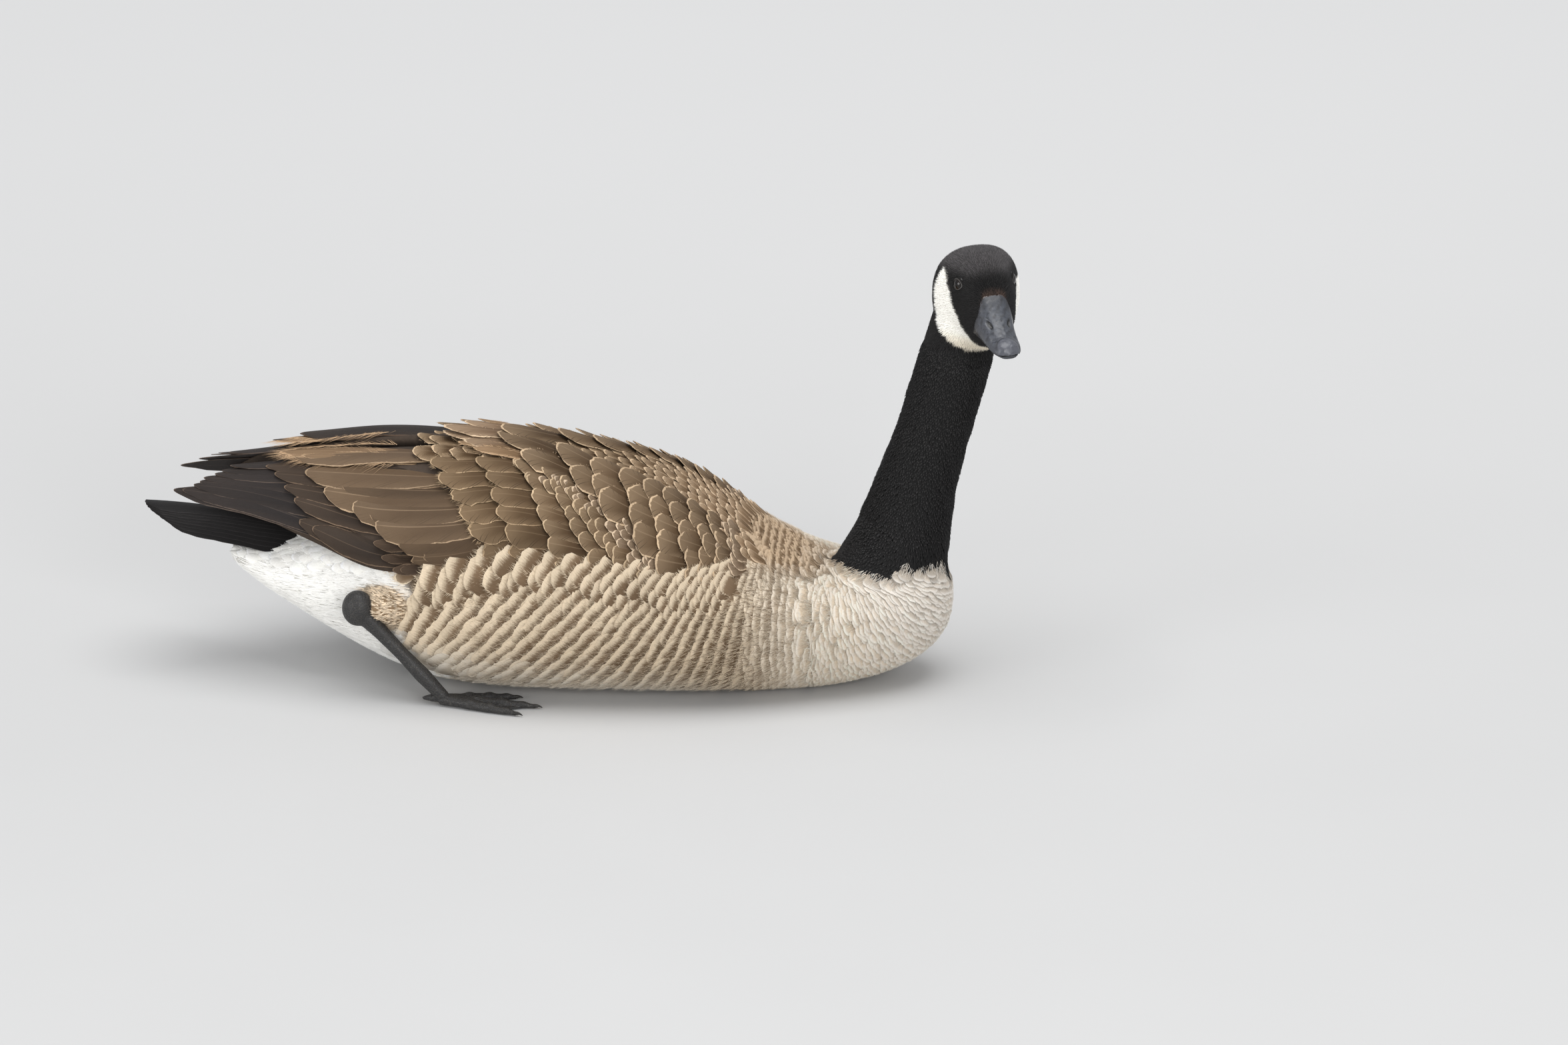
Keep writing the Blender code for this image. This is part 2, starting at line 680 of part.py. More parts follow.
def make_tail(finish):
    rings = []
    for i in range(TAIL_CORE_STEPS + 1):
        along = i / TAIL_CORE_STEPS
        thick = TAIL_CORE_THICK[0] + (TAIL_CORE_THICK[1] - TAIL_CORE_THICK[0]) * along
        ring = []
        for j in range(TAIL_CORE_AROUND):
            angle = 2 * math.pi * j / TAIL_CORE_AROUND
            ring.append(tail_point(TAIL_CORE_SHARE * along, math.cos(angle), thick * math.sin(angle)))
        rings.append(ring)
    core = loft("tail", rings, finish)
    vanes = []
    for i in range(TAIL_FEATHERS):
        share = 2 * i / (TAIL_FEATHERS - 1) - 1
        reach = 1.0 - OUTER_SHORTER * share**2
        lift = RECTRIX_STAND + RECTRIX_STACK * (1 - abs(share))

        def path(t, share=share, reach=reach, lift=lift):
            return tail_point(RECTRIX_ROOT + (reach - RECTRIX_ROOT) * t, share * RECTRIX_SPREAD, lift)

        def outward(t, share=share):
            slope = RECTRIX_SLOPE[0] + (RECTRIX_SLOPE[1] - RECTRIX_SLOPE[0]) * t
            return Vector((0.0, share * slope, 1.0)).normalized()

        roll = math.copysign(RECTRIX_ROLL, share)
        vanes.append(vane(path, outward, RECTRIX_HALF_WIDTH, roll, RECTRIX_THICK))
    fuse(core, vanes)
    return core


# Legs, given for the left side
HOCK = Vector((-0.1640, 0.0785, 0.0745))
HOCK_RADII = (0.0120, 0.0105, 0.0138)
HEEL = Vector((-0.1060, 0.0835, 0.0125))
SHANK_TOP = Vector((-0.1080, 0.0640, 0.0700))
SHANK_END = Vector((-0.1570, 0.0775, 0.0755))
SHANK_RADII = (0.0100, 0.0150, 0.0155, 0.0135, 0.0115)
SHANK_AROUND = 12
TARSUS_RADII = (0.0085, 0.0060, 0.0051, 0.0062, 0.0036)
TARSUS_AROUND = 8
HOCK_SEGMENTS = (12, 8)
PAD_AHEAD = 0.004
PAD_HEIGHT = 0.0052
# Toes from the inner to the outer one, in degrees from straight ahead, and the hind toe
TOE_LENGTHS = (0.060, 0.074, 0.064)
TOE_TURNS = (-15.0, 3.0, 19.0)
TOE_RADII = (0.0052, 0.0043, 0.0044, 0.0034, 0.0014)
TOE_AROUND = 6
TOE_DROP = -0.0030
HIND_ROOT_RISE = 0.0010
HIND_REACH = Vector((-0.014, -0.003, -0.0015))
HIND_RADII = (0.0035, 0.0030, 0.0012)
# The web is a flat sheet between the toes, cut back between their tips
WEB_HEIGHTS = (0.0012, 0.0030)
WEB_REACH = 0.88
WEB_NOTCH = Vector((0.007, 0.0, 0.0))


def tube(name, start, end, radii, around, finish=None):
    # A round limb between two points, with one radius for each ring along it.
    axis = (end - start).normalized()
    side = axis.orthogonal().normalized()
    up = axis.cross(side)
    rings = []
    for i, radius in enumerate(radii):
        centre = start.lerp(end, i / (len(radii) - 1))
        ring = []
        for j in range(around):
            angle = 2 * math.pi * j / around
            ring.append(centre + (side * math.cos(angle) + up * math.sin(angle)) * radius)
        rings.append(ring)
    return loft(name, rings, finish)


def make_shank(side_name, side, finish):
    ends = [sided(point, side) for point in (SHANK_TOP, SHANK_END)]
    return tube("shank_" + side_name, *ends, SHANK_RADII, SHANK_AROUND, finish)


def make_tarsus(side_name, side, finish):
    hock = sided(HOCK, side)
    joint = ball("tarsus_" + side_name, Vector((0, 0, 0)), 1.0, HOCK_SEGMENTS, finish)
    joint.data.transform(Matrix.Translation(hock) @ Matrix.Diagonal((*HOCK_RADII, 1.0)))
    fuse(joint, [tube("lower_leg", hock, sided(HEEL, side), TARSUS_RADII, TARSUS_AROUND)])
    return joint


def make_foot(side_name, side, finish):
    pad = sided(HEEL, side) + Vector((PAD_AHEAD, 0.0, PAD_HEIGHT - HEEL.z))
    toes, tips = [], []
    for length, turn in zip(TOE_LENGTHS, TOE_TURNS):
        angle = math.radians(turn * side)
        tip = pad + Vector((math.cos(angle) * length, math.sin(angle) * length, TOE_DROP))
        toes.append(tube("toe", pad, tip, TOE_RADII, TOE_AROUND))
        tips.append(pad.lerp(tip, WEB_REACH))
    notches = [(tips[i] + tips[i + 1]) / 2 - WEB_NOTCH for i in (0, 1)]
    root = pad + Vector((PAD_AHEAD, 0.0, 0.0))
    outline = [root, tips[0], notches[0], tips[1], notches[1], tips[2]]
    web = loft("web", [[Vector((p.x, p.y, height)) for p in outline] for height in WEB_HEIGHTS])
    hind_root = pad + Vector((0.0, 0.0, HIND_ROOT_RISE))
    hind_toe = tube("hind_toe", hind_root, pad + sided(HIND_REACH, side), HIND_RADII, TOE_AROUND)
    foot = toes.pop(0)
    foot.name = "foot_" + side_name
    foot.data.materials.append(finish)
    fuse(foot, toes + [web, hind_toe])
    for vertex in foot.data.vertices:
        vertex.co.z = max(0.0, vertex.co.z)
    return foot


def build():
    for old in list(bpy.data.objects):
        bpy.data.objects.remove(old)
    black = material("black_plumage", (0.012, 0.012, 0.013), 0.75)
    buff = material("body_plumage", (0.46, 0.36, 0.26), 0.85)
    brown = material("wing_plumage", (0.20, 0.135, 0.085), 0.8)
    dark = material("tail_plumage", (0.018, 0.016, 0.016), 0.6)
    horn = material("bill_horn", (0.035, 0.037, 0.042), 0.4)
    hide = material("leg_skin", (0.02, 0.021, 0.024), 0.5)
    down = material("shank_down", (0.40, 0.29, 0.17), 0.9)
    eye_dark = material("eye", (0.010, 0.007, 0.005), 0.08)

    torso = make_torso(buff)
    wings = {name: wing_core(name, side, brown) for name, side in SIDES.items()}
    wing_cutters = [grown(wing, WING_GAP) for wing in wings.values()]
    cut_clear(torso, *wing_cutters)
    torso_cutter = grown(torso)
    head = make_head(black)
    head_cutter = grown(head)
    neck = make_neck(black)
    cut_clear(neck, torso_cutter, head_cutter)
    make_eyes(head, eye_dark)
    upper = make_upper_bill(horn)
    cut_clear(upper, head_cutter)
    cut_nostrils(upper)
    lower = make_lower_bill(horn)
    cut_clear(lower, head_cutter)

    chooser = random.Random(PLUMAGE_SEED)
    for side_name, side in SIDES.items():
        fuse(wings[side_name], wing_vanes(side_name, side, chooser))
        cut_clear(wings[side_name], torso_cutter)
        shank = make_shank(side_name, side, down)
        cut_clear(shank, torso_cutter)
        shank_cutter = grown(shank)
        tarsus = make_tarsus(side_name, side, hide)
        cut_clear(tarsus, torso_cutter, shank_cutter)
        tarsus_cutter = grown(tarsus)
        foot = make_foot(side_name, side, hide)
        cut_clear(foot, tarsus_cutter, torso_cutter)
        remove(shank_cutter, tarsus_cutter)
    tail = make_tail(dark)
    cut_clear(tail, torso_cutter)
    remove(torso_cutter, head_cutter, *wing_cutters)
    for made in bpy.context.scene.objects:
        made.data.shade_smooth()
        made.data.set_sharp_from_angle(angle=SMOOTH_ANGLE)


build()
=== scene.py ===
# Canada goose at life size: the plumage, bill, eyes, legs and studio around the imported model.
import math

import bpy
import numpy as np
from mathutils import Matrix, Vector
from mathutils.bvhtree import BVHTree


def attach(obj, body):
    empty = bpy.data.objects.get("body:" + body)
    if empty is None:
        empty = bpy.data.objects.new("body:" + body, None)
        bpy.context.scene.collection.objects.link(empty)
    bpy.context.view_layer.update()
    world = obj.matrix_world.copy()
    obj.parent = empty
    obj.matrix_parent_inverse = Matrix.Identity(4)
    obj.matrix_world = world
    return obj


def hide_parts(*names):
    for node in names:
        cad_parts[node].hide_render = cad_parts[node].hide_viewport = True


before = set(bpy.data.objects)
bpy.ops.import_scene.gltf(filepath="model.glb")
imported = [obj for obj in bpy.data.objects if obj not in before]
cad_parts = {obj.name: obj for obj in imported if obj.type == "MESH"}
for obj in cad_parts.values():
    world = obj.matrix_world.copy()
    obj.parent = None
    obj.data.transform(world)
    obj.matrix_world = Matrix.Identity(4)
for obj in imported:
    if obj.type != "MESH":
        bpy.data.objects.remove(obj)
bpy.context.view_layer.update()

scene = bpy.context.scene
dice = np.random.default_rng(21)
rightAndLeft = {"right": -1, "left": 1}  # sign of Y on each side


# Small helpers for numbers and colours
def paint(red, green, blue):
    # screen colour from 0 to 255, turned into the linear values that shaders use
    share = np.array((red, green, blue)) / 255
    return np.where(share <= 0.04045, share / 12.92, ((share + 0.055) / 1.055) ** 2.4)


def ease(low, high, value):
    t = np.clip((value - low) / (high - low), 0, 1)
    return t * t * (3 - 2 * t)


def mix(one, other, share):
    share = np.asarray(share)[..., None]
    return one * (1 - share) + other * share


def signedPower(value, exponent):
    return np.sign(value) * np.abs(value) ** exponent


def unit(vectors):
    return vectors / np.maximum(np.linalg.norm(vectors, axis=-1, keepdims=True), 1e-12)


def dot(one, other):
    return np.sum(one * other, axis=-1)


def ripple(points, scale, seed):
    # smooth noise between about -1 and 1, from crossed waves of one length
    waves = np.random.default_rng(seed)
    total = 0.0
    for _ in range(7):
        heading = unit(waves.normal(size=3)) * 2 * math.pi / scale * waves.uniform(0.6, 1.5)
        total = total + np.sin(points @ heading + waves.uniform(0, 6.3))
    return total / 4.5


def cubic(table, column, x):
    # smooth curve through a table whose first column falls from front to back
    xs, ys = -table[:, 0], table[:, column]
    slopes = np.gradient(ys, xs)
    at = np.clip(-np.asarray(x, float), xs[0], xs[-1])
    i = np.clip(np.searchsorted(xs, at) - 1, 0, len(xs) - 2)
    step = xs[i + 1] - xs[i]
    t = (at - xs[i]) / step
    value = (2 * t**3 - 3 * t**2 + 1) * ys[i] + (3 * t**2 - 2 * t**3) * ys[i + 1]
    return value + ((t**3 - 2 * t**2 + t) * slopes[i] + (t**3 - t**2) * slopes[i + 1]) * step


def ringPoint(x, angle, top, bottom, half, middle, rounding):
    # angle 0 is the back's midline, 90 degrees the right side
    c, s = np.cos(angle), np.sin(angle)
    rise = np.where(c > 0, top - middle, middle - bottom)
    y = -half * signedPower(s, 2 / rounding)
    z = middle + rise * signedPower(c, 2 / rounding)
    return np.stack(np.broadcast_arrays(x, y, z), -1)


# Shape of the bird, the same driving tables as the solids
body = {
    # x, top, bottom, half-width, height of the widest line
    "stations": np.array([
        (0.2750, 0.084, 0.050, 0.013, 0.066), (0.2700, 0.093, 0.038, 0.026, 0.066),
        (0.2580, 0.100, 0.024, 0.041, 0.066), (0.2350, 0.096, 0.010, 0.056, 0.066),
        (0.2000, 0.090, 0.000, 0.071, 0.066), (0.1500, 0.106, -0.005, 0.086, 0.067),
        (0.1050, 0.135, -0.007, 0.096, 0.069), (0.0550, 0.153, -0.007, 0.102, 0.072),
        (0.0050, 0.164, -0.007, 0.104, 0.074), (-0.0500, 0.168, -0.007, 0.102, 0.075),
        (-0.1000, 0.160, -0.003, 0.093, 0.076), (-0.1400, 0.145, 0.008, 0.079, 0.078),
        (-0.1750, 0.128, 0.025, 0.064, 0.081), (-0.2100, 0.111, 0.046, 0.050, 0.083),
        (-0.2400, 0.101, 0.066, 0.038, 0.086), (-0.2650, 0.099, 0.086, 0.024, 0.093),
    ]),
    "rounding": 2.15,
    "coat": 0.0030,
}
neck = {
    # centre of each ring, half-depth, half-width
    "rings": np.array([
        (0.2200, 0.0000, 0.060, 0.046, 0.052), (0.2295, 0.0000, 0.082, 0.0425, 0.0465),
        (0.2370, 0.0000, 0.104, 0.0385, 0.0400), (0.2430, -0.0005, 0.128, 0.0348, 0.0345),
        (0.2505, -0.0020, 0.158, 0.0310, 0.0305), (0.2620, -0.0050, 0.196, 0.0285, 0.0285),
        (0.2718, -0.0085, 0.232, 0.0284, 0.0275), (0.2800, -0.0105, 0.262, 0.0280, 0.0275),
        (0.2870, -0.0105, 0.292, 0.0264, 0.0265), (0.2885, -0.0100, 0.313, 0.0255, 0.0240),
        (0.2895, -0.0100, 0.329, 0.0200, 0.0180),
    ]),
    "coat": 0.0020,
}
head = {
    "place": np.array((0.301, -0.028, 0.325)),
    "turn": math.radians(-69.7),
    # f (towards the bill), top, bottom, half-width, height of the widest line
    "stations": np.array([
        (0.0270, -0.0110, -0.0345, 0.0110, -0.0230), (0.0215, -0.0040, -0.0415, 0.0165, -0.0225),
        (0.0155, 0.0085, -0.0465, 0.0192, -0.0210), (0.0080, 0.0170, -0.0510, 0.0212, -0.0200),
        (-0.0030, 0.0215, -0.0545, 0.0256, -0.0200), (-0.0160, 0.0222, -0.0540, 0.0325, -0.0200),
        (-0.0260, 0.0190, -0.0480, 0.0325, -0.0180), (-0.0340, 0.0125, -0.0380, 0.0265, -0.0130),
        (-0.0390, 0.0040, -0.0230, 0.0145, -0.0090),
    ]),
    "crownRounding": 2.5,
    "jawRounding": 2.0,
    "coat": 0.0002,        # softening the form takes about a millimetre off the head
}
headForward = np.array((math.cos(head["turn"]), math.sin(head["turn"]), 0.0))
headLeft = np.array((-headForward[1], headForward[0], 0.0))
upward = np.array((0.0, 0.0, 1.0))


def headToWorld(points):
    points = np.asarray(points, float)
    return head["place"] + points[..., :1] * headForward + points[..., 1:2] * headLeft + points[..., 2:] * upward


def worldToHead(points):
    away = np.asarray(points, float) - head["place"]
    return np.stack((away @ headForward, away @ headLeft, away @ upward), -1)


# Building meshes
def meshObject(name, points, faces, smooth=True):
    mesh = bpy.data.meshes.new(name)
    mesh.from_pydata([tuple(p) for p in points], [], faces)
    mesh.validate()
    made = bpy.data.objects.new(name, mesh)
    scene.collection.objects.link(made)
    if smooth:
        mesh.shade_smooth()
    return made


def loftFaces(rows, around, first=0):
    # quads between rings of points, with a flat face over each end
    faces = []
    for r in range(rows - 1):
        for j in range(around):
            a, b = first + r * around + j, first + r * around + (j + 1) % around
            faces.append((a, b, b + around, a + around))
    last = first + (rows - 1) * around
    return faces + [tuple(range(first + around - 1, first - 1, -1)), tuple(range(last, last + around))]


def loftTogether(name, lofts):
    points, faces = [], []
    for rings in lofts:
        faces += loftFaces(len(rings), len(rings[0]), len(points))
        points += [p for ring in rings for p in ring]
    return meshObject(name, points, faces)


def evaluated(made):
    graph = bpy.context.evaluated_depsgraph_get()
    mesh = bpy.data.meshes.new_from_object(made.evaluated_get(graph))
    made.modifiers.clear()
    made.data = mesh
    return made


def meltTogether(made, voxel, rounds):
    # one closed surface around all the lofts of an object, then softened
    melt = made.modifiers.new("melt", "REMESH")
    melt.mode = "VOXEL"
    melt.voxel_size = voxel
    soften = made.modifiers.new("soften", "SMOOTH")
    soften.factor = 0.5
    soften.iterations = rounds
    return evaluated(made)


def tubeRings(path, radii, around, flat=1.0):
    # rings along a path of points, each with its own radius
    path = np.asarray(path, float)
    radii = np.asarray(radii, float)
    ahead = unit(np.gradient(path, axis=0))
    side = unit(np.cross(ahead, upward + 0.001))
    up = np.cross(side, ahead)
    turn = np.linspace(0, 2 * math.pi, around, endpoint=False)[:, None]
    rings = []
    for centre, s, u, radius in zip(path, side, up, radii):
        rings.append(centre + radius * (np.cos(turn) * s + np.sin(turn) * u * flat))
    return rings


# The bare bird under the feathers: body, neck and head as one form
def bodyRing(x, angle, inset=0.0):
    table = body["stations"]
    top, bottom, half, middle = (cubic(table, c, x) for c in (1, 2, 3, 4))
    points = ringPoint(x, angle, top - inset, bottom + inset, half - inset, middle, body["rounding"])
    points[..., 2] = np.maximum(points[..., 2], inset)
    return points


def neckRings(inset):
    rings = []
    table = neck["rings"]
    centres = table[:, :3]
    axes = unit(np.gradient(centres, axis=0))
    turn = np.linspace(0, 2 * math.pi, 48, endpoint=False)[:, None]
    for centre, axis, (depth, width) in zip(centres, axes, table[:, 3:]):
        side = unit(np.array((0.0, 1.0, 0.0)) - axis * axis[1])
        front = np.cross(side, axis)
        rings.append(centre + front * (depth - inset) * np.cos(turn) + side * (width - inset) * np.sin(turn))
    return rings


def headRings(inset):
    table = head["stations"]
    angles = np.linspace(-math.pi, math.pi, 48, endpoint=False)
    rounding = np.where(np.cos(angles) > 0, head["crownRounding"], head["jawRounding"])
    rings = []
    for f in np.linspace(table[0, 0] - inset, table[-1, 0] + inset, 28):
        top, bottom, half, middle = (cubic(table, c, f) for c in (1, 2, 3, 4))
        ring = ringPoint(f, angles, top - inset, bottom + inset, max(0.004, half - inset), middle, rounding)
        rings.append(headToWorld(ring))
    return rings


shank = {
    "top": np.array((-0.1080, 0.0640, 0.0700)),
    "end": np.array((-0.1570, 0.0775, 0.0755)),
    "radii": np.array((0.0100, 0.0150, 0.0155, 0.0135, 0.0115)),
    "coat": 0.0014,
}


def sided(points, side):
    return np.asarray(points, float) * np.array((1.0, side, 1.0))


def bareBird():
    xs = np.concatenate([[0.2745, 0.272, 0.268], np.linspace(0.262, -0.2635, 70)])
    angles = np.linspace(-math.pi, math.pi, 72, endpoint=False)
    lofts = [[bodyRing(x, angles, body["coat"]) for x in xs], neckRings(neck["coat"]), headRings(head["coat"])]
    for side in rightAndLeft.values():
        steps = np.linspace(0, 1, len(shank["radii"]))[:, None]
        path = sided(shank["top"] + (shank["end"] - shank["top"]) * steps, side)
        lofts.append(tubeRings(path, shank["radii"] - shank["coat"], 24))
    return meltTogether(loftTogether("bareBird", lofts), 0.0021, 9)


# A map over the bare bird: s runs from the tail to the crown, phi around it.
# Rings are upright planes on the body, a fan about the base of the nape over the breast, then cross the neck.
rings = {
    "tail": -0.2640,
    "fanStart": 0.175,
    "fanHeight": 0.140,      # the fan's hinge lies over the back
    "fanTurn": math.radians(75.9),
    "fanScale": 0.060,
    "neckStart": np.array((0.2410, -0.0005, 0.1235)),
    "headCentre": np.array((0.2985, -0.0205, 0.3110)),
    "crown": 0.3464,
    "step": 0.0020,
    "around": 168,
}


def ringFrames():
    frames = []  # s, centre, direction of the back, direction of the right side
    right = np.array((0.0, -1.0, 0.0))
    for x in np.arange(rings["tail"], rings["fanStart"], rings["step"]):
        centre = np.array((x, 0.0, cubic(body["stations"], 4, x)))
        frames.append((x, centre, upward, right))
    hinge = np.array((rings["fanStart"], 0.0, rings["fanHeight"]))
    fanLength = rings["fanTurn"] * rings["fanScale"]
    for way in np.arange(0, fanLength, rings["step"]):
        turn = way / rings["fanScale"]
        ahead = np.array((math.sin(turn), 0.0, -math.cos(turn)))
        reach = 0.0735 + (0.068 - 0.0735) * way / fanLength
        frames.append((rings["fanStart"] + way, hinge + ahead * reach, -ahead, right))
    upper = neck["rings"][(neck["rings"][:, 2] > 0.14) & (neck["rings"][:, 2] < 0.275), :3]
    line = np.vstack([rings["neckStart"], upper, rings["headCentre"] - (0.002, -0.002, 0.018), rings["headCentre"]])
    lengths = np.concatenate([[0], np.cumsum(np.linalg.norm(np.diff(line, axis=0), axis=1))])
    start = rings["fanStart"] + fanLength
    ways = np.arange(0, lengths[-1], rings["step"])
    centres = np.stack([np.interp(ways, lengths, line[:, c]) for c in range(3)], -1)
    for _ in range(12):
        centres[1:-1] = (centres[:-2] + 2 * centres[1:-1] + centres[2:]) / 4
    axes = unit(np.gradient(centres, axis=0))
    for way, centre, axis in zip(ways, centres, axes):
        axis = unit(axis + (upward - axis) * ease(lengths[-1] - 0.07, lengths[-1] - 0.01, way))
        side = unit(right - axis * (right @ axis))
        frames.append((start + way, centre, np.cross(side, axis), side))
    rise = rings["crown"] - rings["headCentre"][2]
    domeLength = rise * math.pi / 2
    last = start + ways[-1]
    for way in np.arange(rings["step"], domeLength + rings["step"], rings["step"]):
        height = rise * math.sin(min(1.0, way / domeLength) * math.pi / 2 * 0.985)
        frames.append((last + way, rings["headCentre"] + upward * height, np.cross(right, upward), right))
    return frames


def blurred(values, rounds):
    for _ in range(rounds):
        values = (np.roll(values, 1, 1) + 2 * values + np.roll(values, -1, 1)) / 4
        inner = (values[:-2] + 2 * values[1:-1] + values[2:]) / 4
        values = np.concatenate([values[:1], inner, values[-1:]])
    return values


def castRings(bare):
    tree = BVHTree.FromObject(bare, bpy.context.evaluated_depsgraph_get())
    frames = ringFrames()
    phis = np.linspace(-math.pi, math.pi, rings["around"], endpoint=False)
    reach = np.zeros((len(frames), len(phis)))
    ways = np.zeros((len(frames), len(phis), 3))
    for i, (s, centre, back, side) in enumerate(frames):
        directions = np.cos(phis)[:, None] * back + np.sin(phis)[:, None] * side
        ways[i] = directions
        for j, direction in enumerate(directions):
            # from outside inwards would meet the neck first, so the ray starts at the centre
            hit = tree.ray_cast(Vector(centre), Vector(direction), 0.3)
            reach[i, j] = hit[3] if hit[0] is not None else (reach[i - 1, j] if i else 0.01)
    reach = blurred(reach, 2)
    centres = np.array([f[1] for f in frames])
    points = centres[:, None, :] + ways * reach[..., None]
    # three smaller rings close the crown
    middle, outer = points[-1].mean(axis=0), points[-1]
    inner = [middle + (outer - middle) * share + upward * 0.0003 * (1 - share) for share in (0.68, 0.36, 0.06)]
    points = np.concatenate([points, np.array(inner)])
    return np.arange(len(points)), phis, points


def surfaceMap(a, b, points, wraps, outwards):
    # a grid of points that sample() reads; normals point away from the bird
    if wraps:
        across = np.roll(points, -1, 1) - np.roll(points, 1, 1)
    else:
        across = np.gradient(points, axis=1)
    along = np.gradient(points, axis=0)
    normals = unit(np.cross(along, across))
    if np.mean(dot(normals, outwards)) < 0:
        normals = -normals
    return {"a": (a[0], a[-1]), "b": (b[0], b[-1]), "points": points, "normals": normals, "wraps": wraps}


def sample(surface, a, b):
    points, normals = surface["points"], surface["normals"]
    rows, columns = points.shape[:2]
    i = np.clip((a - surface["a"][0]) / (surface["a"][1] - surface["a"][0]), 0, 1) * (rows - 1)
    if surface["wraps"]:
        j = (b + math.pi) / (2 * math.pi) * columns
    else:
        j = np.clip((b - surface["b"][0]) / (surface["b"][1] - surface["b"][0]), 0, 1) * (columns - 1)
    i0 = np.minimum(i.astype(int), rows - 2)
    j0 = np.floor(j).astype(int) if surface["wraps"] else np.minimum(j.astype(int), columns - 2)
    u, v = (i - i0)[..., None], (j - j0)[..., None]
    j1 = j0 + 1
    if surface["wraps"]:
        j0, j1 = j0 % columns, j1 % columns
    corners = [(i0, j0, (1 - u) * (1 - v)), (i0, j1, (1 - u) * v), (i0 + 1, j0, u * (1 - v)), (i0 + 1, j1, u * v)]
    place = sum(points[p, q] * weight for p, q, weight in corners)
    facing = unit(sum(normals[p, q] * weight for p, q, weight in corners))
    return place, facing


def tangents(surface, a, b):
    da, db = 0.0015 * surface["unitA"], 0.0015 * surface["unitB"]
    along = (sample(surface, a + da, b)[0] - sample(surface, a - da, b)[0]) / (2 * da)
    across = (sample(surface, a, b + db)[0] - sample(surface, a, b - db)[0]) / (2 * db)
    return along, across


def steps(along, across, vector):
    # the change of a and b that moves a point by that vector on the surface
    aa, ab, bb = dot(along, along), dot(along, across), dot(across, across)
    av, bv = dot(along, vector), dot(across, vector)
    scale = np.maximum(aa * bb - ab * ab, 1e-16)
    return (bb * av - ab * bv) / scale, (aa * bv - ab * av) / scale


# Feather templates: the points of one closed blade in shares of half-width and length
def featherTemplate(columns, rows, widths, tipRound):
    # columns across and rows along the upper side; the under side is plain
    us = np.linspace(-1, 1, columns + 1)
    vs = np.linspace(0, 1, rows + 1)[1:] ** 0.92
    half = np.interp(vs, *zip(*widths))
    points, edges = [(0.0, 0.0, 1.0, 0.5, 0.0)], [0]      # across, along, top, and the place within the vane
    last = rows - 1

    def add(u, v, w, top, edge):
        points.append((u * w, v - tipRound * u * u * v**5, top, u * 0.5 + 0.5, v))
        edges.append(edge)

    def edgeOf(r, u):
        # points that share a number move together when the outline is made ragged
        if r == last:
            return 1 + int(round((u + 1) * columns / 2))
        return columns + 2 + 2 * r + (u > 0) if abs(u) == 1 else 0

    for r, (v, w) in enumerate(zip(vs, half)):
        for u in us:
            add(u, v, w, 1.0 - abs(u) ** 3 * 0.55, edgeOf(r, u))
    under = len(points)
    for r, (v, w) in enumerate(zip(vs, half)):
        for u in us if r == last else (-1.0, 1.0):
            add(u, v, w, -0.45, edgeOf(r, u))
    topAt = lambda r, c: 1 + r * (columns + 1) + c
    leftAt = lambda r: under + 2 * r
    rightAt = lambda r: under + 2 * r + (columns if r == last else 1)
    faces = [(0, topAt(0, c + 1), topAt(0, c)) for c in range(columns)]
    faces += [(0, leftAt(0), rightAt(0)), (0, topAt(0, 0), leftAt(0)), (0, rightAt(0), topAt(0, columns))]
    for r in range(last):
        for c in range(columns):
            p, q = topAt(r, c), topAt(r + 1, c)
            faces += [(p, p + 1, q + 1), (p, q + 1, q)]
        p, q, m, n = topAt(r, 0), topAt(r + 1, 0), leftAt(r), leftAt(r + 1)
        faces += [(p, q, n), (p, n, m)]
        p, q, m, n = topAt(r, columns), topAt(r + 1, columns), rightAt(r), rightAt(r + 1)
        faces += [(p, n, q), (p, m, n)]
        if r < last - 1:
            faces += [(leftAt(r), leftAt(r + 1), rightAt(r + 1)), (leftAt(r), rightAt(r + 1), rightAt(r))]
    for c in range(columns):
        tip = leftAt(last) + c
        faces += [(leftAt(last - 1), tip, tip + 1), (topAt(last, c), topAt(last, c + 1), tip + 1), (topAt(last, c), tip + 1, tip)]
    faces.append((leftAt(last - 1), rightAt(last), rightAt(last - 1)))
    return finishTemplate(points, faces, edges)


def finishTemplate(points, faces, edges=None):
    table = np.array(points)
    edges = np.zeros(len(table), int) if edges is None else np.array(edges)
    return {"across": table[:, 0], "along": table[:, 1], "top": table[:, 2], "place": table[:, 3:],
            "faces": np.array(faces), "edges": edges}


def kiteTemplate(widest=0.55):
    # the smallest tuft: a closed kite with a raised middle
    points = [(0.0, 0.0, 0.0, 0.5, 0.0), (-1.0, widest, -0.3, 0.0, widest), (1.0, widest, -0.3, 1.0, widest),
              (0.0, 1.0, 0.0, 0.5, 1.0), (0.0, widest * 0.9, 1.0, 0.5, widest)]
    return finishTemplate(points, [(0, 4, 1), (1, 4, 3), (3, 4, 2), (2, 4, 0), (0, 1, 2), (1, 3, 2)])


def sliverTemplate():
    # one hair-thin barb: a closed sliver with three sides
    points = [(-1.0, 0.0, 0.0, 0.45, 0.9), (1.0, 0.0, 0.0, 0.55, 0.9), (0.0, 0.02, 1.0, 0.5, 0.9), (0.0, 1.0, 0.3, 0.5, 1.0)]
    return finishTemplate(points, [(0, 2, 3), (2, 1, 3), (1, 0, 3), (0, 1, 2)])


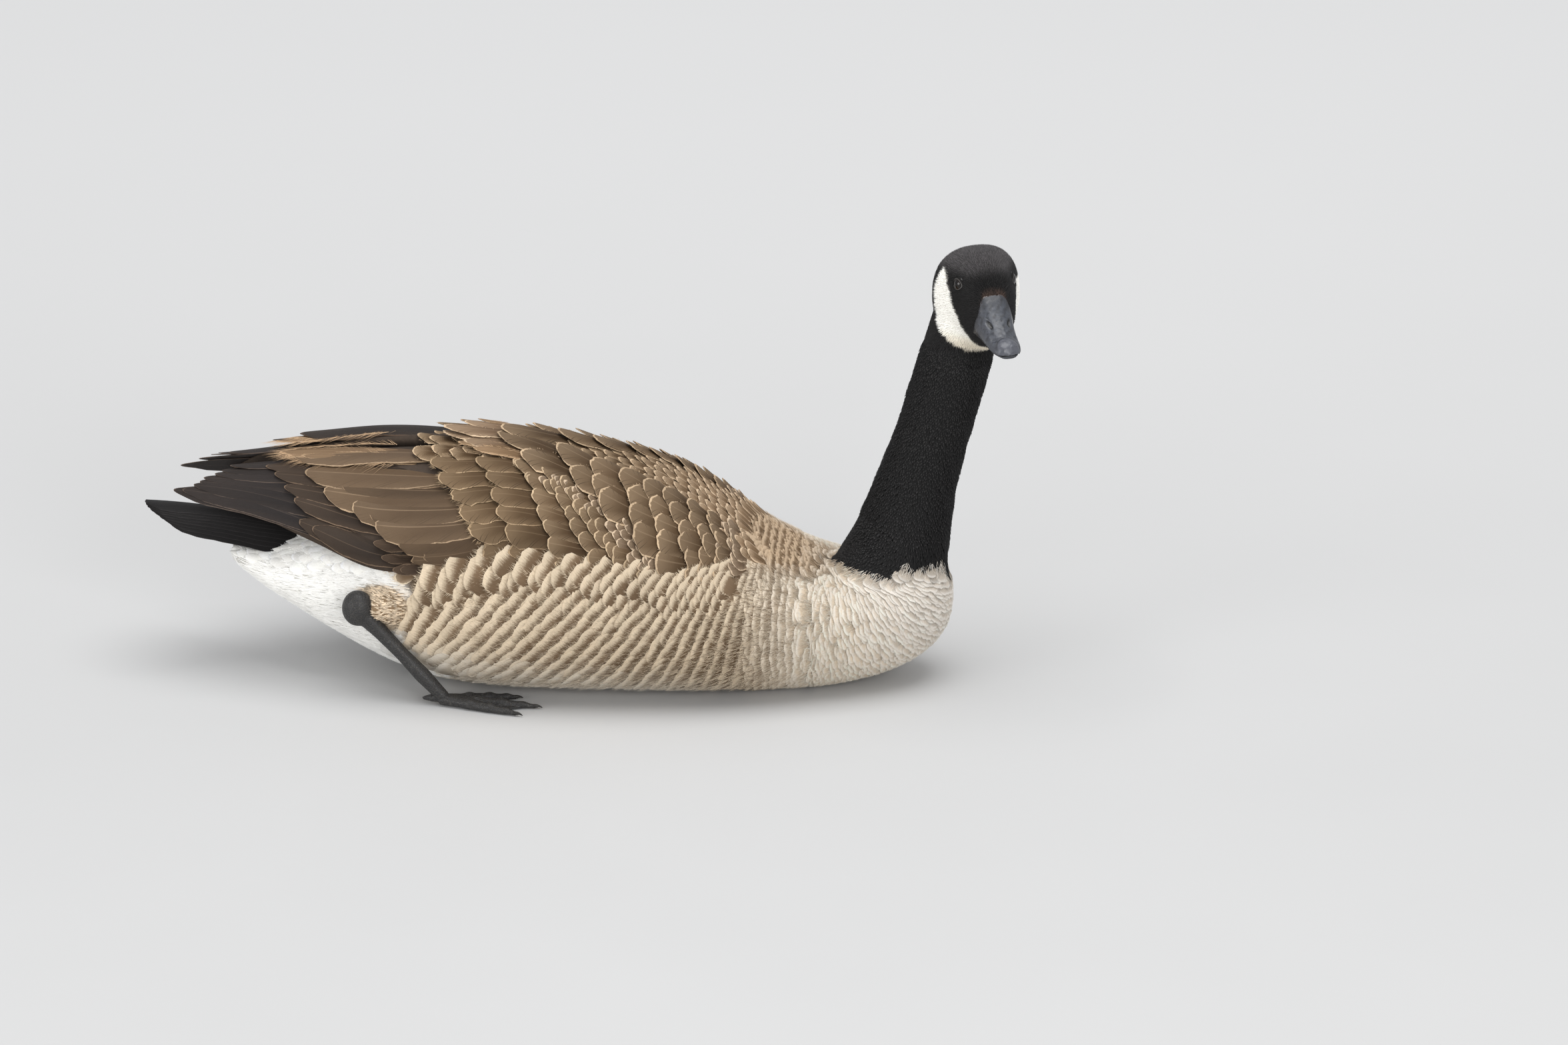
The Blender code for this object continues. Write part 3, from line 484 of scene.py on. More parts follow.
templates = {
    "kite": kiteTemplate(),
    "sliver": sliverTemplate(),
    "scale": featherTemplate(4, 4, ((0, 0.3), (0.45, 0.95), (0.75, 1.0), (1, 0.66)), 0.20),
    "rib": featherTemplate(4, 4, ((0, 0.4), (0.45, 0.95), (0.8, 1.0), (1, 0.82)), 0.10),
    "contour": featherTemplate(6, 6, ((0, 0.3), (0.4, 0.9), (0.75, 1.0), (1, 0.70)), 0.18),
    "band": featherTemplate(6, 6, ((0, 0.4), (0.4, 0.95), (0.8, 1.0), (1, 0.84)), 0.09),
    "covert": featherTemplate(8, 9, ((0, 0.3), (0.35, 0.85), (0.8, 1.0), (1, 0.72)), 0.13),
    "flight": featherTemplate(8, 16, ((0, 0.35), (0.3, 0.85), (0.75, 1.0), (0.93, 0.80), (1, 0.48)), 0.055),
    "rectrix": featherTemplate(8, 14, ((0, 0.5), (0.3, 0.9), (0.8, 1.0), (0.95, 0.86), (1, 0.60)), 0.05),
}


# Laying feathers on a surface
def newCoat():
    return {"points": [], "faces": [], "place": [], "tint": [], "rim": [], "bake": [], "rimSide": [], "rimTip": [], "count": 0}


def addFeathers(coat, template, made, tint, rim, rimWidth, bake):
    count, size = made.shape[:2]
    rows = template["faces"][None] + (coat["count"] + np.arange(count) * size)[:, None, None]
    coat["points"].append(made.reshape(-1, 3))
    coat["faces"].append(rows.reshape(-1, 3))
    coat["place"].append(np.broadcast_to(template["place"], (count, size, 2)).reshape(-1, 2))
    for key, colour in (("tint", tint), ("rim", rim)):
        colour = np.broadcast_to(np.asarray(colour, float).reshape(-1, 3), (count, 3))
        coat[key].append(np.repeat(colour, size, axis=0))
    for key, width in zip(("rimSide", "rimTip"), rimWidth):
        coat[key].append(np.repeat(np.broadcast_to(np.asarray(width, float), (count,)), size))
    coat["bake"].append(bake.reshape(-1, 2))
    coat["count"] += count * size


def lay(coat, surface, kind, start, end, half, low, high, tint, rim, thick=0.0003, camber=0.10,
        roll=0.0, curl=0.0, bend=0.0, tiles=None, rimWidth=(0.001, 0.001), ragged=0.0):
    # start and end are (a, b) of each feather's quill and tip; low and high are how far they stand off
    # rimWidth is the pale margin in metres at the sides and at the tip
    template = templates[kind]
    a0, b0 = (np.asarray(v, float) for v in start)
    a1, b1 = (np.asarray(v, float) for v in end)
    count = len(a0)
    full = lambda value: np.broadcast_to(np.asarray(value, float), (count,))[:, None]
    half, low, high, roll, curl, bend = (full(v) for v in (half, low, high, roll, curl, bend))
    sideA, sideB, spots = [], [], []
    for v in (0.0, 0.5, 1.0):
        a, b = a0 + (a1 - a0) * v, b0 + (b1 - b0) * v
        along, across = tangents(surface, a, b)
        spot, facing = sample(surface, a, b)
        ahead = unit(along * (a1 - a0)[:, None] + across * (b1 - b0)[:, None])
        da, db = steps(along, across, unit(np.cross(ahead, facing)))
        sideA.append(da)
        sideB.append(db)
        spots.append(spot)
    length = np.linalg.norm(spots[1] - spots[0], axis=-1) + np.linalg.norm(spots[2] - spots[1], axis=-1)
    u, v, top = template["across"][None, :], template["along"][None, :], template["top"][None, :]
    if ragged:
        # every outline point strays by its own small amount
        stray = dice.uniform(-1, 1, (2, count, template["edges"].max() + 1)) * ragged
        stray[:, :, 0] = 0
        u = u * (1 + stray[0][:, template["edges"]])
        v = v + stray[1][:, template["edges"]] * half / np.maximum(length, 1e-6)[:, None]
    atV = np.clip(v, 0, 1)
    weights = [np.clip(1 - 2 * atV, 0, 1), 1 - np.abs(2 * atV - 1), np.clip(2 * atV - 1, 0, 1)]
    da = sum(w * side[:, None] for w, side in zip(weights, sideA))
    db = sum(w * side[:, None] for w, side in zip(weights, sideB))
    offset = u * half + bend * atV * atV
    a = a0[:, None] + (a1 - a0)[:, None] * v + da * offset
    b = b0[:, None] + (b1 - b0)[:, None] * v + db * offset
    points, facing = sample(surface, a, b)
    lift = low + (high - low) * atV**0.8 + curl * atV**3 - camber * half * u * u + roll * u * half + top * thick
    points = points + facing * lift[..., None]
    points[..., 2] = np.maximum(points[..., 2], 0.0003 + 0.0002 * top)
    widths = (rimWidth[0] / half[:, 0], rimWidth[1] / np.maximum(length, 1e-6))
    addFeathers(coat, template, points, tint, rim, widths, bakePlaces(surface, template, a0, b0, tiles))


def fringe(coat, surface, start, end, half, high, colour, each, length, thin, camber=0.10, spread=0.6, frayed=False):
    # hair-thin barbs that stand out around the tip of every feather, or all along the sides of a frayed one
    a0, b0 = (np.repeat(np.asarray(v, float), each) for v in start)
    a1, b1 = (np.repeat(np.asarray(v, float), each) for v in end)
    count = len(a0)
    over = lambda value: np.repeat(np.broadcast_to(np.asarray(value, float), (count // each,)), each)
    half, high, length = over(half), over(high), over(length)
    turn = dice.uniform(-1.75, 1.75, count)
    u, v = 0.95 * np.sin(turn), 0.70 + 0.27 * np.cos(turn)
    if frayed:
        v = np.where(dice.uniform(0, 1, count) < 0.7, dice.uniform(0.25, 0.95, count), v)
        u = np.where(v < 0.9, np.sign(turn) * 0.9, u)
        turn = np.sign(turn) * dice.uniform(0.1, 0.8, count)
    along, across = tangents(surface, a1, b1)
    facing = sample(surface, a1, b1)[1]
    ahead = unit(along * (a1 - a0)[:, None] + across * (b1 - b0)[:, None])
    side = unit(np.cross(ahead, facing))
    da, db = steps(along, across, side)
    a, b = a0 + (a1 - a0) * v + da * u * half, b0 + (b1 - b0) * v + db * u * half
    swing = turn * spread + dice.normal(0, 0.22, count)
    way = ahead * np.cos(swing)[:, None] + side * np.sin(swing)[:, None]
    long = length * dice.uniform(0.6, 1.3, count)
    stepA, stepB = steps(along, across, way * long[:, None])
    lift = high * v**0.8 - camber * half * u * u
    tone = np.repeat(colour, each, axis=0) * variation(count, 0.12)
    lay(coat, surface, "sliver", (a, b), (a + stepA, b + stepB), thin, lift - 0.0002, lift + dice.uniform(-0.0002, 0.0006, count),
        np.minimum(tone, 0.95), np.minimum(tone, 0.95), thick=0.00018, camber=0.0)


bakePatch = 0.003


def bakePlaces(surface, template, a, b, tiles):
    if tiles is not None:
        # large vanes take a square each in a grid of tiles
        first, total = tiles
        per = math.ceil(math.sqrt(total))
        index = first + np.arange(len(a))
        corner = np.stack((index % per, index // per), -1) / per
        return corner[:, None, :] + (template["place"][None] * 0.9 + 0.05) / per
    u = (a - surface["a"][0]) / (surface["a"][1] - surface["a"][0])
    span = 2 * math.pi if surface["wraps"] else surface["b"][1] - surface["b"][0]
    v = (b - surface["b"][0]) / span
    v = v % 1.0 if surface["wraps"] else v
    centre = np.stack((u, v), -1) * 0.99 + 0.005
    return centre[:, None, :] + (template["place"][None] - 0.5) * bakePatch


def dress(name, coat, finish, nodeNames):
    points = np.concatenate(coat["points"])
    faces = np.concatenate(coat["faces"])
    mesh = bpy.data.meshes.new(name)
    mesh.vertices.add(len(points))
    mesh.vertices.foreach_set("co", points.astype(np.float32).ravel())
    mesh.loops.add(faces.size)
    mesh.loops.foreach_set("vertex_index", faces.astype(np.int32).ravel())
    mesh.polygons.add(len(faces))
    mesh.polygons.foreach_set("loop_start", np.arange(0, faces.size, 3, dtype=np.int32))
    mesh.polygons.foreach_set("loop_total", np.full(len(faces), 3, np.int32))
    mesh.update(calc_edges=True)
    for layer, key in (("OFBake", "bake"), ("vane", "place")):
        uv = mesh.uv_layers.new(name=layer)
        uv.data.foreach_set("uv", np.concatenate(coat[key])[faces.ravel()].astype(np.float32).ravel())
    for key in ("tint", "rim"):
        colours = np.clip(np.concatenate(coat[key]), 0, 0.95)
        colours = np.hstack([colours, np.ones((len(colours), 1))])
        layer = mesh.color_attributes.new(key, "FLOAT_COLOR", "POINT")
        layer.data.foreach_set("color", colours.astype(np.float32).ravel())
    for key in ("rimSide", "rimTip"):
        layer = mesh.attributes.new(key, "FLOAT", "POINT")
        layer.data.foreach_set("value", np.clip(np.concatenate(coat[key]), 0.001, 0.6).astype(np.float32))
    mesh.shade_smooth()
    mesh.set_sharp_from_angle(angle=math.radians(50))
    made = bpy.data.objects.new(name, mesh)
    scene.collection.objects.link(made)
    mesh.materials.append(finish)
    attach(made, "root")
    if nodeNames:
        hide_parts(*nodeNames)
    print(f"{name}: {len(faces)} triangles")
    return made


# Materials
def link(tree, source, target):
    tree.links.new(source, target)


def node(tree, kind, **settings):
    made = tree.nodes.new(kind)
    for key, value in settings.items():
        if key.startswith("in_"):
            made.inputs[int(key[3:])].default_value = value
        else:
            setattr(made, key, value)
    return made


def math2(tree, operation, first, second=None, clamp=False):
    made = tree.nodes.new("ShaderNodeMath")
    made.operation = operation
    made.use_clamp = clamp
    for socket, value in zip(made.inputs, (first, second)):
        if value is None:
            continue
        if isinstance(value, (int, float)):
            socket.default_value = value
        else:
            tree.links.new(value, socket)
    return made.outputs[0]


def blend2(tree, share, first, second, mode="MIX"):
    made = tree.nodes.new("ShaderNodeMix")
    made.data_type = "RGBA"
    made.blend_type = mode
    for index, value in ((0, share), (6, first), (7, second)):
        if isinstance(value, (int, float)):
            made.inputs[index].default_value = value
        elif isinstance(value, (tuple, list, np.ndarray)):
            made.inputs[index].default_value = (*[float(c) for c in value[:3]], 1.0)
        else:
            tree.links.new(value, made.inputs[index])
    return made.outputs[2]


def newMaterial(name, roughness, sheen=0.0, specular=0.3, coatWeight=0.0):
    made = bpy.data.materials.new(name)
    made.use_nodes = True
    shader = made.node_tree.nodes["Principled BSDF"]
    shader.inputs["Roughness"].default_value = roughness
    shader.inputs["Specular IOR Level"].default_value = specular
    shader.inputs["Sheen Weight"].default_value = sheen
    shader.inputs["Coat Weight"].default_value = coatWeight
    return made, made.node_tree, shader


def featherMaterial(name, barbs=46, barbDepth=0.10, shaft=0.5, paintedRootShade=0.45, soft=0.35, splits=0.0,
                    roughness=0.7, sheen=0.15, specular=0.25, mottle=0.12, bumpDepth=0.0004, shaftWidth=0.02, fan=0.2,
                    sideGlow=1.0, streaks=0.0, glowFrom=0.55):
    # base and rim colours and rim widths come with each feather, barbs and shaft from the place within the vane
    made, tree, shader = newMaterial(name, roughness, sheen, specular)
    uv = node(tree, "ShaderNodeUVMap", uv_map="vane")
    parts = node(tree, "ShaderNodeSeparateXYZ")
    link(tree, uv.outputs[0], parts.inputs[0])
    u, v = parts.outputs[0], parts.outputs[1]
    away = math2(tree, "MULTIPLY", math2(tree, "ABSOLUTE", math2(tree, "SUBTRACT", u, 0.5)), 2.0)
    tint = node(tree, "ShaderNodeAttribute", attribute_name="tint").outputs["Color"]
    rim = node(tree, "ShaderNodeAttribute", attribute_name="rim").outputs["Color"]
    place = node(tree, "ShaderNodeTexCoord").outputs["Object"]
    cloud = node(tree, "ShaderNodeTexNoise", in_2=420.0, in_3=3.0)
    link(tree, place, cloud.inputs[0])
    wobble = math2(tree, "SUBTRACT", cloud.outputs[0], 0.5)

    def smoothMask(value, low, high, outLow=0.0, outHigh=1.0):
        mask = node(tree, "ShaderNodeMapRange", interpolation_type="SMOOTHSTEP")
        for index, source in enumerate((value, low, high, outLow, outHigh)):
            if isinstance(source, (int, float)):
                mask.inputs[index].default_value = source
            else:
                link(tree, source, mask.inputs[index])
        return mask.outputs[0]

    # barbs run out and forward from the shaft
    slant = math2(tree, "SUBTRACT", math2(tree, "MULTIPLY", v, barbs * (1 - fan)), math2(tree, "MULTIPLY", away, barbs * fan))
    wavy = math2(tree, "ADD", slant, math2(tree, "MULTIPLY", cloud.outputs[0], 2.0))
    clump = node(tree, "ShaderNodeTexNoise", noise_dimensions="1D", in_1=0.0, in_2=0.8, in_3=2.0)
    link(tree, wavy, clump.inputs["W"])
    uneven = math2(tree, "MULTIPLY", math2(tree, "SUBTRACT", clump.outputs[0], 0.5), 3.0 if streaks else 0.0)
    uneven = math2(tree, "ADD", uneven, math2(tree, "MULTIPLY", wobble, 1.0 if streaks else 2.2))

    def margin(distance, widthName):
        # 1 at the outline, falling off over the pale margin's own width
        width = node(tree, "ShaderNodeAttribute", attribute_name=widthName).outputs["Fac"]
        ragged = math2(tree, "MULTIPLY", uneven, width)
        inward = math2(tree, "SUBTRACT", math2(tree, "SUBTRACT", 1.0, distance), ragged)
        return smoothMask(inward, math2(tree, "MULTIPLY", width, 0.75 - 0.35 * (streaks > 0)),
                          math2(tree, "MULTIPLY", width, 1.35 + 0.5 * (streaks > 0)), 1.0, 0.0)

    edge = math2(tree, "MAXIMUM", margin(away, "rimSide"), margin(v, "rimTip"))
    comb = math2(tree, "SINE", math2(tree, "MULTIPLY", wavy, 6.283))
    comb = math2(tree, "MULTIPLY", math2(tree, "ADD", comb, 1.0), 0.5)
    glow = math2(tree, "MAXIMUM", smoothMask(away, 0.25, 1.0, 0.0, sideGlow), smoothMask(v, glowFrom, 1.0))
    colour = blend2(tree, math2(tree, "MULTIPLY", glow, soft), tint, rim)
    colour = blend2(tree, edge, colour, rim)
    darker = blend2(tree, 1.0, colour, (0.60, 0.565, 0.53), "MULTIPLY")
    barbShare = math2(tree, "MULTIPLY", math2(tree, "SUBTRACT", 1.0, comb), barbDepth * 2.2)
    colour = blend2(tree, barbShare, colour, darker)
    if streaks:
        strand = math2(tree, "MULTIPLY", math2(tree, "SUBTRACT", clump.outputs[0], 0.42), streaks * 5)
        colour = blend2(tree, math2(tree, "ADD", strand, 0.0, True), colour, darker)
    spots = node(tree, "ShaderNodeTexNoise", in_2=90.0, in_3=2.0)
    link(tree, place, spots.inputs[0])
    shade = math2(tree, "MULTIPLY", math2(tree, "SUBTRACT", spots.outputs[0], 0.5), mottle * 4)
    colour = blend2(tree, math2(tree, "ADD", shade, 0.0, True), colour, darker)
    # painted shade: each feather darkens towards its root, where the feathers lying over it would shade it
    colour = blend2(tree, smoothMask(v, 0.25, 0.80, paintedRootShade, 0.0), colour, darker)
    if splits:
        # a few barbs stand apart towards the outline, and the gaps between them get painted shade, a near-black brown
        tear = node(tree, "ShaderNodeTexNoise", noise_dimensions="1D", in_1=0.0, in_2=0.55, in_3=1.0)
        link(tree, slant, tear.inputs["W"])
        splitShade = smoothMask(math2(tree, "ADD", tear.outputs[0], math2(tree, "MULTIPLY", wobble, 0.12)), 0.66, 0.70)
        splitShade = math2(tree, "MULTIPLY", splitShade, smoothMask(away, 0.15, 0.7, 0.0, splits))
        colour = blend2(tree, splitShade, colour, (0.035, 0.022, 0.014))
    if shaft:
        line = smoothMask(away, shaftWidth, shaftWidth * 2.2, abs(shaft), 0.0)
        fade = math2(tree, "MULTIPLY", line, math2(tree, "SUBTRACT", 1.0, edge, True))
        colour = blend2(tree, fade, colour, rim if shaft > 0 else darker)
    link(tree, colour, shader.inputs["Base Color"])
    bump = node(tree, "ShaderNodeBump", in_0=0.55, in_1=bumpDepth)
    link(tree, comb, bump.inputs["Height"])
    link(tree, bump.outputs[0], shader.inputs["Normal"])
    return made


print("helpers ready")

# The bare bird and its map
bare = bareBird()
ringS, ringPhi, ringPoints = castRings(bare)
bpy.data.objects.remove(bare)
ringS = rings["tail"] + rings["step"] * np.arange(len(ringS))
ringCentre = ringPoints.mean(axis=1, keepdims=True)
birdMap = surfaceMap(ringS, ringPhi, ringPoints, True, ringPoints - ringCentre)
birdMap.update(unitA=1.0, unitB=12.0)


def mapS(row):
    return rings["tail"] + rings["step"] * row


def mapPhi(column):
    return -math.pi + 2 * math.pi * column / rings["around"]


print("bird map", ringPoints.shape, "s from", ringS[0], "to", ringS[-1])

# Markings: the colours of skin and feathers by their place on the bird
tones = {
    # neckRim: the black tufts' tips painted paler, as painted highlights on the neck's fine feathers
    "neck": np.array((0.0040, 0.0039, 0.0040)), "neckRim": np.array((0.023, 0.022, 0.022)),
    # the crown tones are a painted sheen: the top of the black head painted lighter, as lit by the sky
    "crown": np.array((0.040, 0.037, 0.038)), "crownSheenRim": np.array((0.090, 0.085, 0.087)),
    "rust": np.array((0.085, 0.053, 0.040)),
    "cheek": np.array((0.93, 0.90, 0.82)), "cheekLow": np.array((0.60, 0.53, 0.41)),
    "breast": np.array((0.78, 0.655, 0.50)), "breastRim": np.array((0.94, 0.87, 0.76)),
    "front": np.array((0.74, 0.665, 0.57)), "frontRim": np.array((0.92, 0.87, 0.80)),
    "flank": np.array((0.190, 0.128, 0.078)), "flankRim": np.array((0.78, 0.65, 0.48)),
    "mantle": np.array((0.21, 0.138, 0.080)), "mantleRim": np.array((0.68, 0.52, 0.36)),
    "belly": np.array((0.60, 0.53, 0.43)), "bellyRim": np.array((0.80, 0.75, 0.66)),
    "white": np.array((0.88, 0.865, 0.82)), "whiteRim": np.array((0.94, 0.93, 0.90)),
    "rump": np.array((0.035, 0.026, 0.020)), "rumpRim": np.array((0.08, 0.06, 0.045)),
    "shank": np.array((0.36, 0.25, 0.15)), "shankRim": np.array((0.66, 0.54, 0.40)),
}
neckEdge = {"phi": (0, 0.5, 1.45, 1.61, 1.78, 2.25, 2.88, 3.15),
            "s": (0.190, 0.200, 0.2266, 0.2270, 0.2389, 0.2439, 0.2418, 0.2410)}
cheek = {
    "rearHeights": (-0.0525, -0.0495, -0.0453, -0.0387, -0.0331, -0.0214, -0.0065, 0.0065),
    "rearPlaces": (0.0030, 0.0008, -0.0037, -0.0108, -0.0174, -0.0182, -0.0196, -0.0160),
    "frontHeights": (-0.0490, -0.0379, -0.0314, -0.0225, -0.0174, -0.0059, 0.0043, 0.0080),
    "frontPlaces": (0.0130, 0.0112, 0.0066, 0.0038, -0.0006, -0.0048, -0.0100, -0.0147),
}


def neckShare(points, s, phi):
    edge = np.interp(np.abs(phi), neckEdge["phi"], neckEdge["s"])
    ragged = 0.0030 * ripple(points, 0.022, 3) + 0.0018 * ripple(points, 0.007, 4)
    return ease(-0.0016, 0.0016, s + ragged - edge)


def cheekShare(points):
    place = worldToHead(points)
    f = place[..., 0] + 0.0009 * ripple(points, 0.006, 5)
    height = place[..., 2]
    rear = np.interp(height, cheek["rearHeights"], cheek["rearPlaces"])
    front = np.interp(height, cheek["frontHeights"], cheek["frontPlaces"])
    inside = np.minimum(f - rear, front - f)
    # the far cheek ends a little lower
    top = np.where(place[..., 1] > 0, -0.0035, 0.0078)
    inside = np.minimum(inside, (top - height) * 0.8)
    # the band passes under the throat, and ends there towards the neck
    inside = np.minimum(inside, height + 0.0530)
    return ease(-0.0008, 0.0008, inside)


def markings(points, s, phi):
    # base and rim colours for feathers rooted at these places
    side = np.abs(phi)
    place = worldToHead(points)
    base, rim = tones["flank"] + 0 * points, tones["flankRim"] + 0 * points
    zones = [
        ("breast", ease(0.12, 0.190, s)),
        ("front", ease(0.19, 0.235, s) * ease(0.6, 1.4, side)),
        ("mantle", ease(1.20, 0.85, side) * ease(0.215, 0.17, s)),
        ("belly", ease(1.95, 2.45, side) * ease(0.16, 0.05, s)),
        ("rump", ease(1.25, 1.0, side) * ease(-0.09, -0.11, s)),
    ]
    wobble = 0.008 * ripple(points, 0.03, 8)
    whiteStart = np.interp(side, (0, 0.9, 1.25, 1.6, 2.4, 3.14), (-0.185, -0.175, -0.128, -0.118, -0.095, -0.085))
    zones.append(("white", ease(0.006, -0.006, s + wobble - whiteStart)))
    zones.append(("neck", neckShare(points, s, phi)))
    for name, share in zones:
        base, rim = mix(base, tones[name], share), mix(rim, tones[name + "Rim"], share)
    onHead = ease(0.268, 0.276, points[..., 2]) * (s > 0.3)
    # painted sheen: the top of the head is painted lighter than the rest of the black head
    crown = onHead * ease(0.004, 0.014, place[..., 2]) * ease(0.020, 0.008, place[..., 0])
    base, rim = mix(base, tones["crown"], crown), mix(rim, tones["crownSheenRim"], crown)
    # a thin rusty band fades into the forehead over the bill
    across = place[..., 1] + 0.0012 * ripple(points, 0.006, 9)
    brow = 0.60 * ease(0.0186, 0.0214, place[..., 0]) * ease(0.0105, 0.0068, np.abs(across)) * onHead
    brow = brow * (0.65 + 0.35 * ripple(points, 0.004, 10))
    base, rim = mix(base, tones["rust"], brow), mix(rim, tones["rust"] * 1.4, brow)
    white = cheekShare(points) * onHead
    low = ease(-0.036, -0.050, place[..., 2])
    cheekTone = mix(tones["cheek"], tones["cheekLow"], low * 0.75)
    base = base * (1 - white[..., None]) + cheekTone * white[..., None]
    rim = rim * (1 - white[..., None]) + np.minimum(cheekTone * 1.1, 0.92) * white[..., None]
    # one small black fleck on the breast
    fleck = ease(0.0036, 0.0024, np.linalg.norm((points - (0.2615, -0.033, 0.085)) * (1, 1, 1.6), axis=-1))
    base, rim = mix(base, tones["neck"], fleck), mix(rim, tones["neckRim"], fleck)
    onShank = ease(0.0050, 0.0020, shankDistance(points))
    base, rim = mix(base, tones["shank"], onShank), mix(rim, tones["shankRim"], onShank)
    return base, rim


def shankDistance(points):
    # how far a point lies outside either feathered shank
    near = 1.0
    for side in rightAndLeft.values():
        top, end = sided(shank["top"], side), sided(shank["end"], side)
        axis = end - top
        t = np.clip((points - top) @ axis / (axis @ axis), 0, 1)
        radius = np.interp(t, np.linspace(0, 1, len(shank["radii"])), shank["radii"])
        away = np.linalg.norm(points - top - t[..., None] * axis, axis=-1) - radius
        near = np.minimum(near, np.where(t > 0.30, away, 1.0))
    return near


def variation(count, spread):
    return dice.uniform(1 - spread, 1 + spread, count)[:, None]


def sparse(points, gaps):
    # keeps points that are at least their own gap apart
    cell = float(np.max(gaps))
    grid, kept = {}, []
    for i, (p, gap) in enumerate(zip(points.tolist(), gaps.tolist())):
        key = tuple(int(math.floor(c / cell)) for c in p)
        free = True
        for dx in (-1, 0, 1):
            for dy in (-1, 0, 1):
                for dz in (-1, 0, 1):
                    for q in grid.get((key[0] + dx, key[1] + dy, key[2] + dz), ()):
                        if (p[0] - q[0]) ** 2 + (p[1] - q[1]) ** 2 + (p[2] - q[2]) ** 2 < gap * gap:
                            free = False
                            break
                    if not free:
                        break
                if not free:
                    break
            if not free:
                break
        if free:
            grid.setdefault(key, []).append(p)
            kept.append(i)
    return np.array(kept)


def placesOnSkin(count, wanted):
    # random (s, phi) on the skin, evenly by area, where wanted(points) is true
    along = ringPoints[1:] - ringPoints[:-1]
    across = np.roll(ringPoints, -1, 1) - ringPoints
    area = np.linalg.norm(np.cross(along, across[:-1]), axis=-1)
    area = area * wanted(ringPoints[:-1])
    cells = dice.choice(area.size, count, p=(area / area.sum()).ravel())
    i, j = np.divmod(cells, area.shape[1])
    return mapS(i + dice.uniform(0, 1, count)), mapPhi(j + dice.uniform(0, 1, count))


# Skin
def skinMaterial():
    made, tree, shader = newMaterial("down", 0.9, 0.1, 0.15)
    tint = node(tree, "ShaderNodeAttribute", attribute_name="tint").outputs["Color"]
    place = node(tree, "ShaderNodeTexCoord").outputs["Object"]
    fuzz = node(tree, "ShaderNodeTexNoise", in_2=700.0, in_3=3.0)
    link(tree, place, fuzz.inputs[0])
    darker = blend2(tree, 1.0, tint, (0.55, 0.53, 0.50), "MULTIPLY")
    link(tree, blend2(tree, fuzz.outputs[0], tint, darker), shader.inputs["Base Color"])
    bump = node(tree, "ShaderNodeBump", in_0=0.5, in_1=0.0006)
    link(tree, fuzz.outputs[0], bump.inputs["Height"])
    link(tree, bump.outputs[0], shader.inputs["Normal"])
    return made


def makeSkin():
    rows, around = ringPoints.shape[:2]
    points = ringPoints.reshape(-1, 3)
    tail, crown = ringPoints[0].mean(axis=0), ringPoints[-1].mean(axis=0)
    points = np.vstack([points, tail, crown])
    points[:, 2] = np.maximum(points[:, 2], 0.0010)
    faces, corners = [], []
    for r in range(rows - 1):
        for j in range(around):
            k = (j + 1) % around
            faces.append((r * around + j, (r + 1) * around + j, (r + 1) * around + k, r * around + k))
            corners += [(r, j), (r + 1, j), (r + 1, j + 1), (r, j + 1)]
    tailTip, crownTip = rows * around, rows * around + 1
    for j in range(around):
        k = (j + 1) % around
        faces.append((j, k, tailTip))
        corners += [(0, j), (0, j + 1), (0, j + 0.5)]
        faces.append(((rows - 1) * around + k, (rows - 1) * around + j, crownTip))
        corners += [(rows - 1, j + 1), (rows - 1, j), (rows - 1, j + 0.5)]
    made = meshObject("skin", points, faces)
    mesh = made.data
    uv = mesh.uv_layers.new(name="OFBake")
    flat = np.array(corners, float) / (rows - 1, around) * 0.99 + 0.005
    uv.data.foreach_set("uv", flat.astype(np.float32).ravel())
    s = np.concatenate([np.repeat(ringS, around), ringS[[0, -1]]])
    phi = np.concatenate([np.tile(ringPhi, rows), [0, 0]])
    base, _ = markings(points, s, phi)
    colours = np.hstack([base * 0.8, np.ones((len(points), 1))])
    layer = mesh.color_attributes.new("tint", "FLOAT_COLOR", "POINT")
    layer.data.foreach_set("color", colours.astype(np.float32).ravel())
    mesh.materials.append(skinMaterial())
    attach(made, "root")
    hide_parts("torso", "neck", "head", "shank_left", "shank_right")
    print("skin:", len(mesh.polygons), "faces")
    return made


makeSkin()

# Wings: a bed under each wing, near-black brown, partly the wing's own dark colour and partly painted shade under the
# vanes, then tiers of vanes from the flight feathers up to the scapulars
wing = {
    # x, top, half-width, height of the widest line, height of the lower edge
    "stations": np.array([
        (0.1400, 0.1150, 0.0890, 0.068, 0.112), (0.1100, 0.1380, 0.0965, 0.070, 0.108),
        (0.0600, 0.1590, 0.1030, 0.073, 0.109), (0.0100, 0.1720, 0.1060, 0.076, 0.117),
        (-0.0500, 0.1820, 0.1050, 0.079, 0.124), (-0.1000, 0.1820, 0.0980, 0.082, 0.112),
        (-0.1500, 0.1800, 0.0850, 0.087, 0.107), (-0.2000, 0.1720, 0.0680, 0.096, 0.122),
        (-0.2500, 0.1635, 0.0500, 0.110, 0.137), (-0.3000, 0.1565, 0.0330, 0.124, 0.142),
        (-0.3300, 0.1500, 0.0220, 0.130, 0.143),
    ]),
    "rise": {"right": -0.0030, "left": 0.0020},
    "inner": (2.6, 21.0),              # degrees from the midline, behind and at the shoulder
    "fronts": (0.1040, 0.1180, 0.1130, 0.0920),
    "bedSink": 0.0010,
}


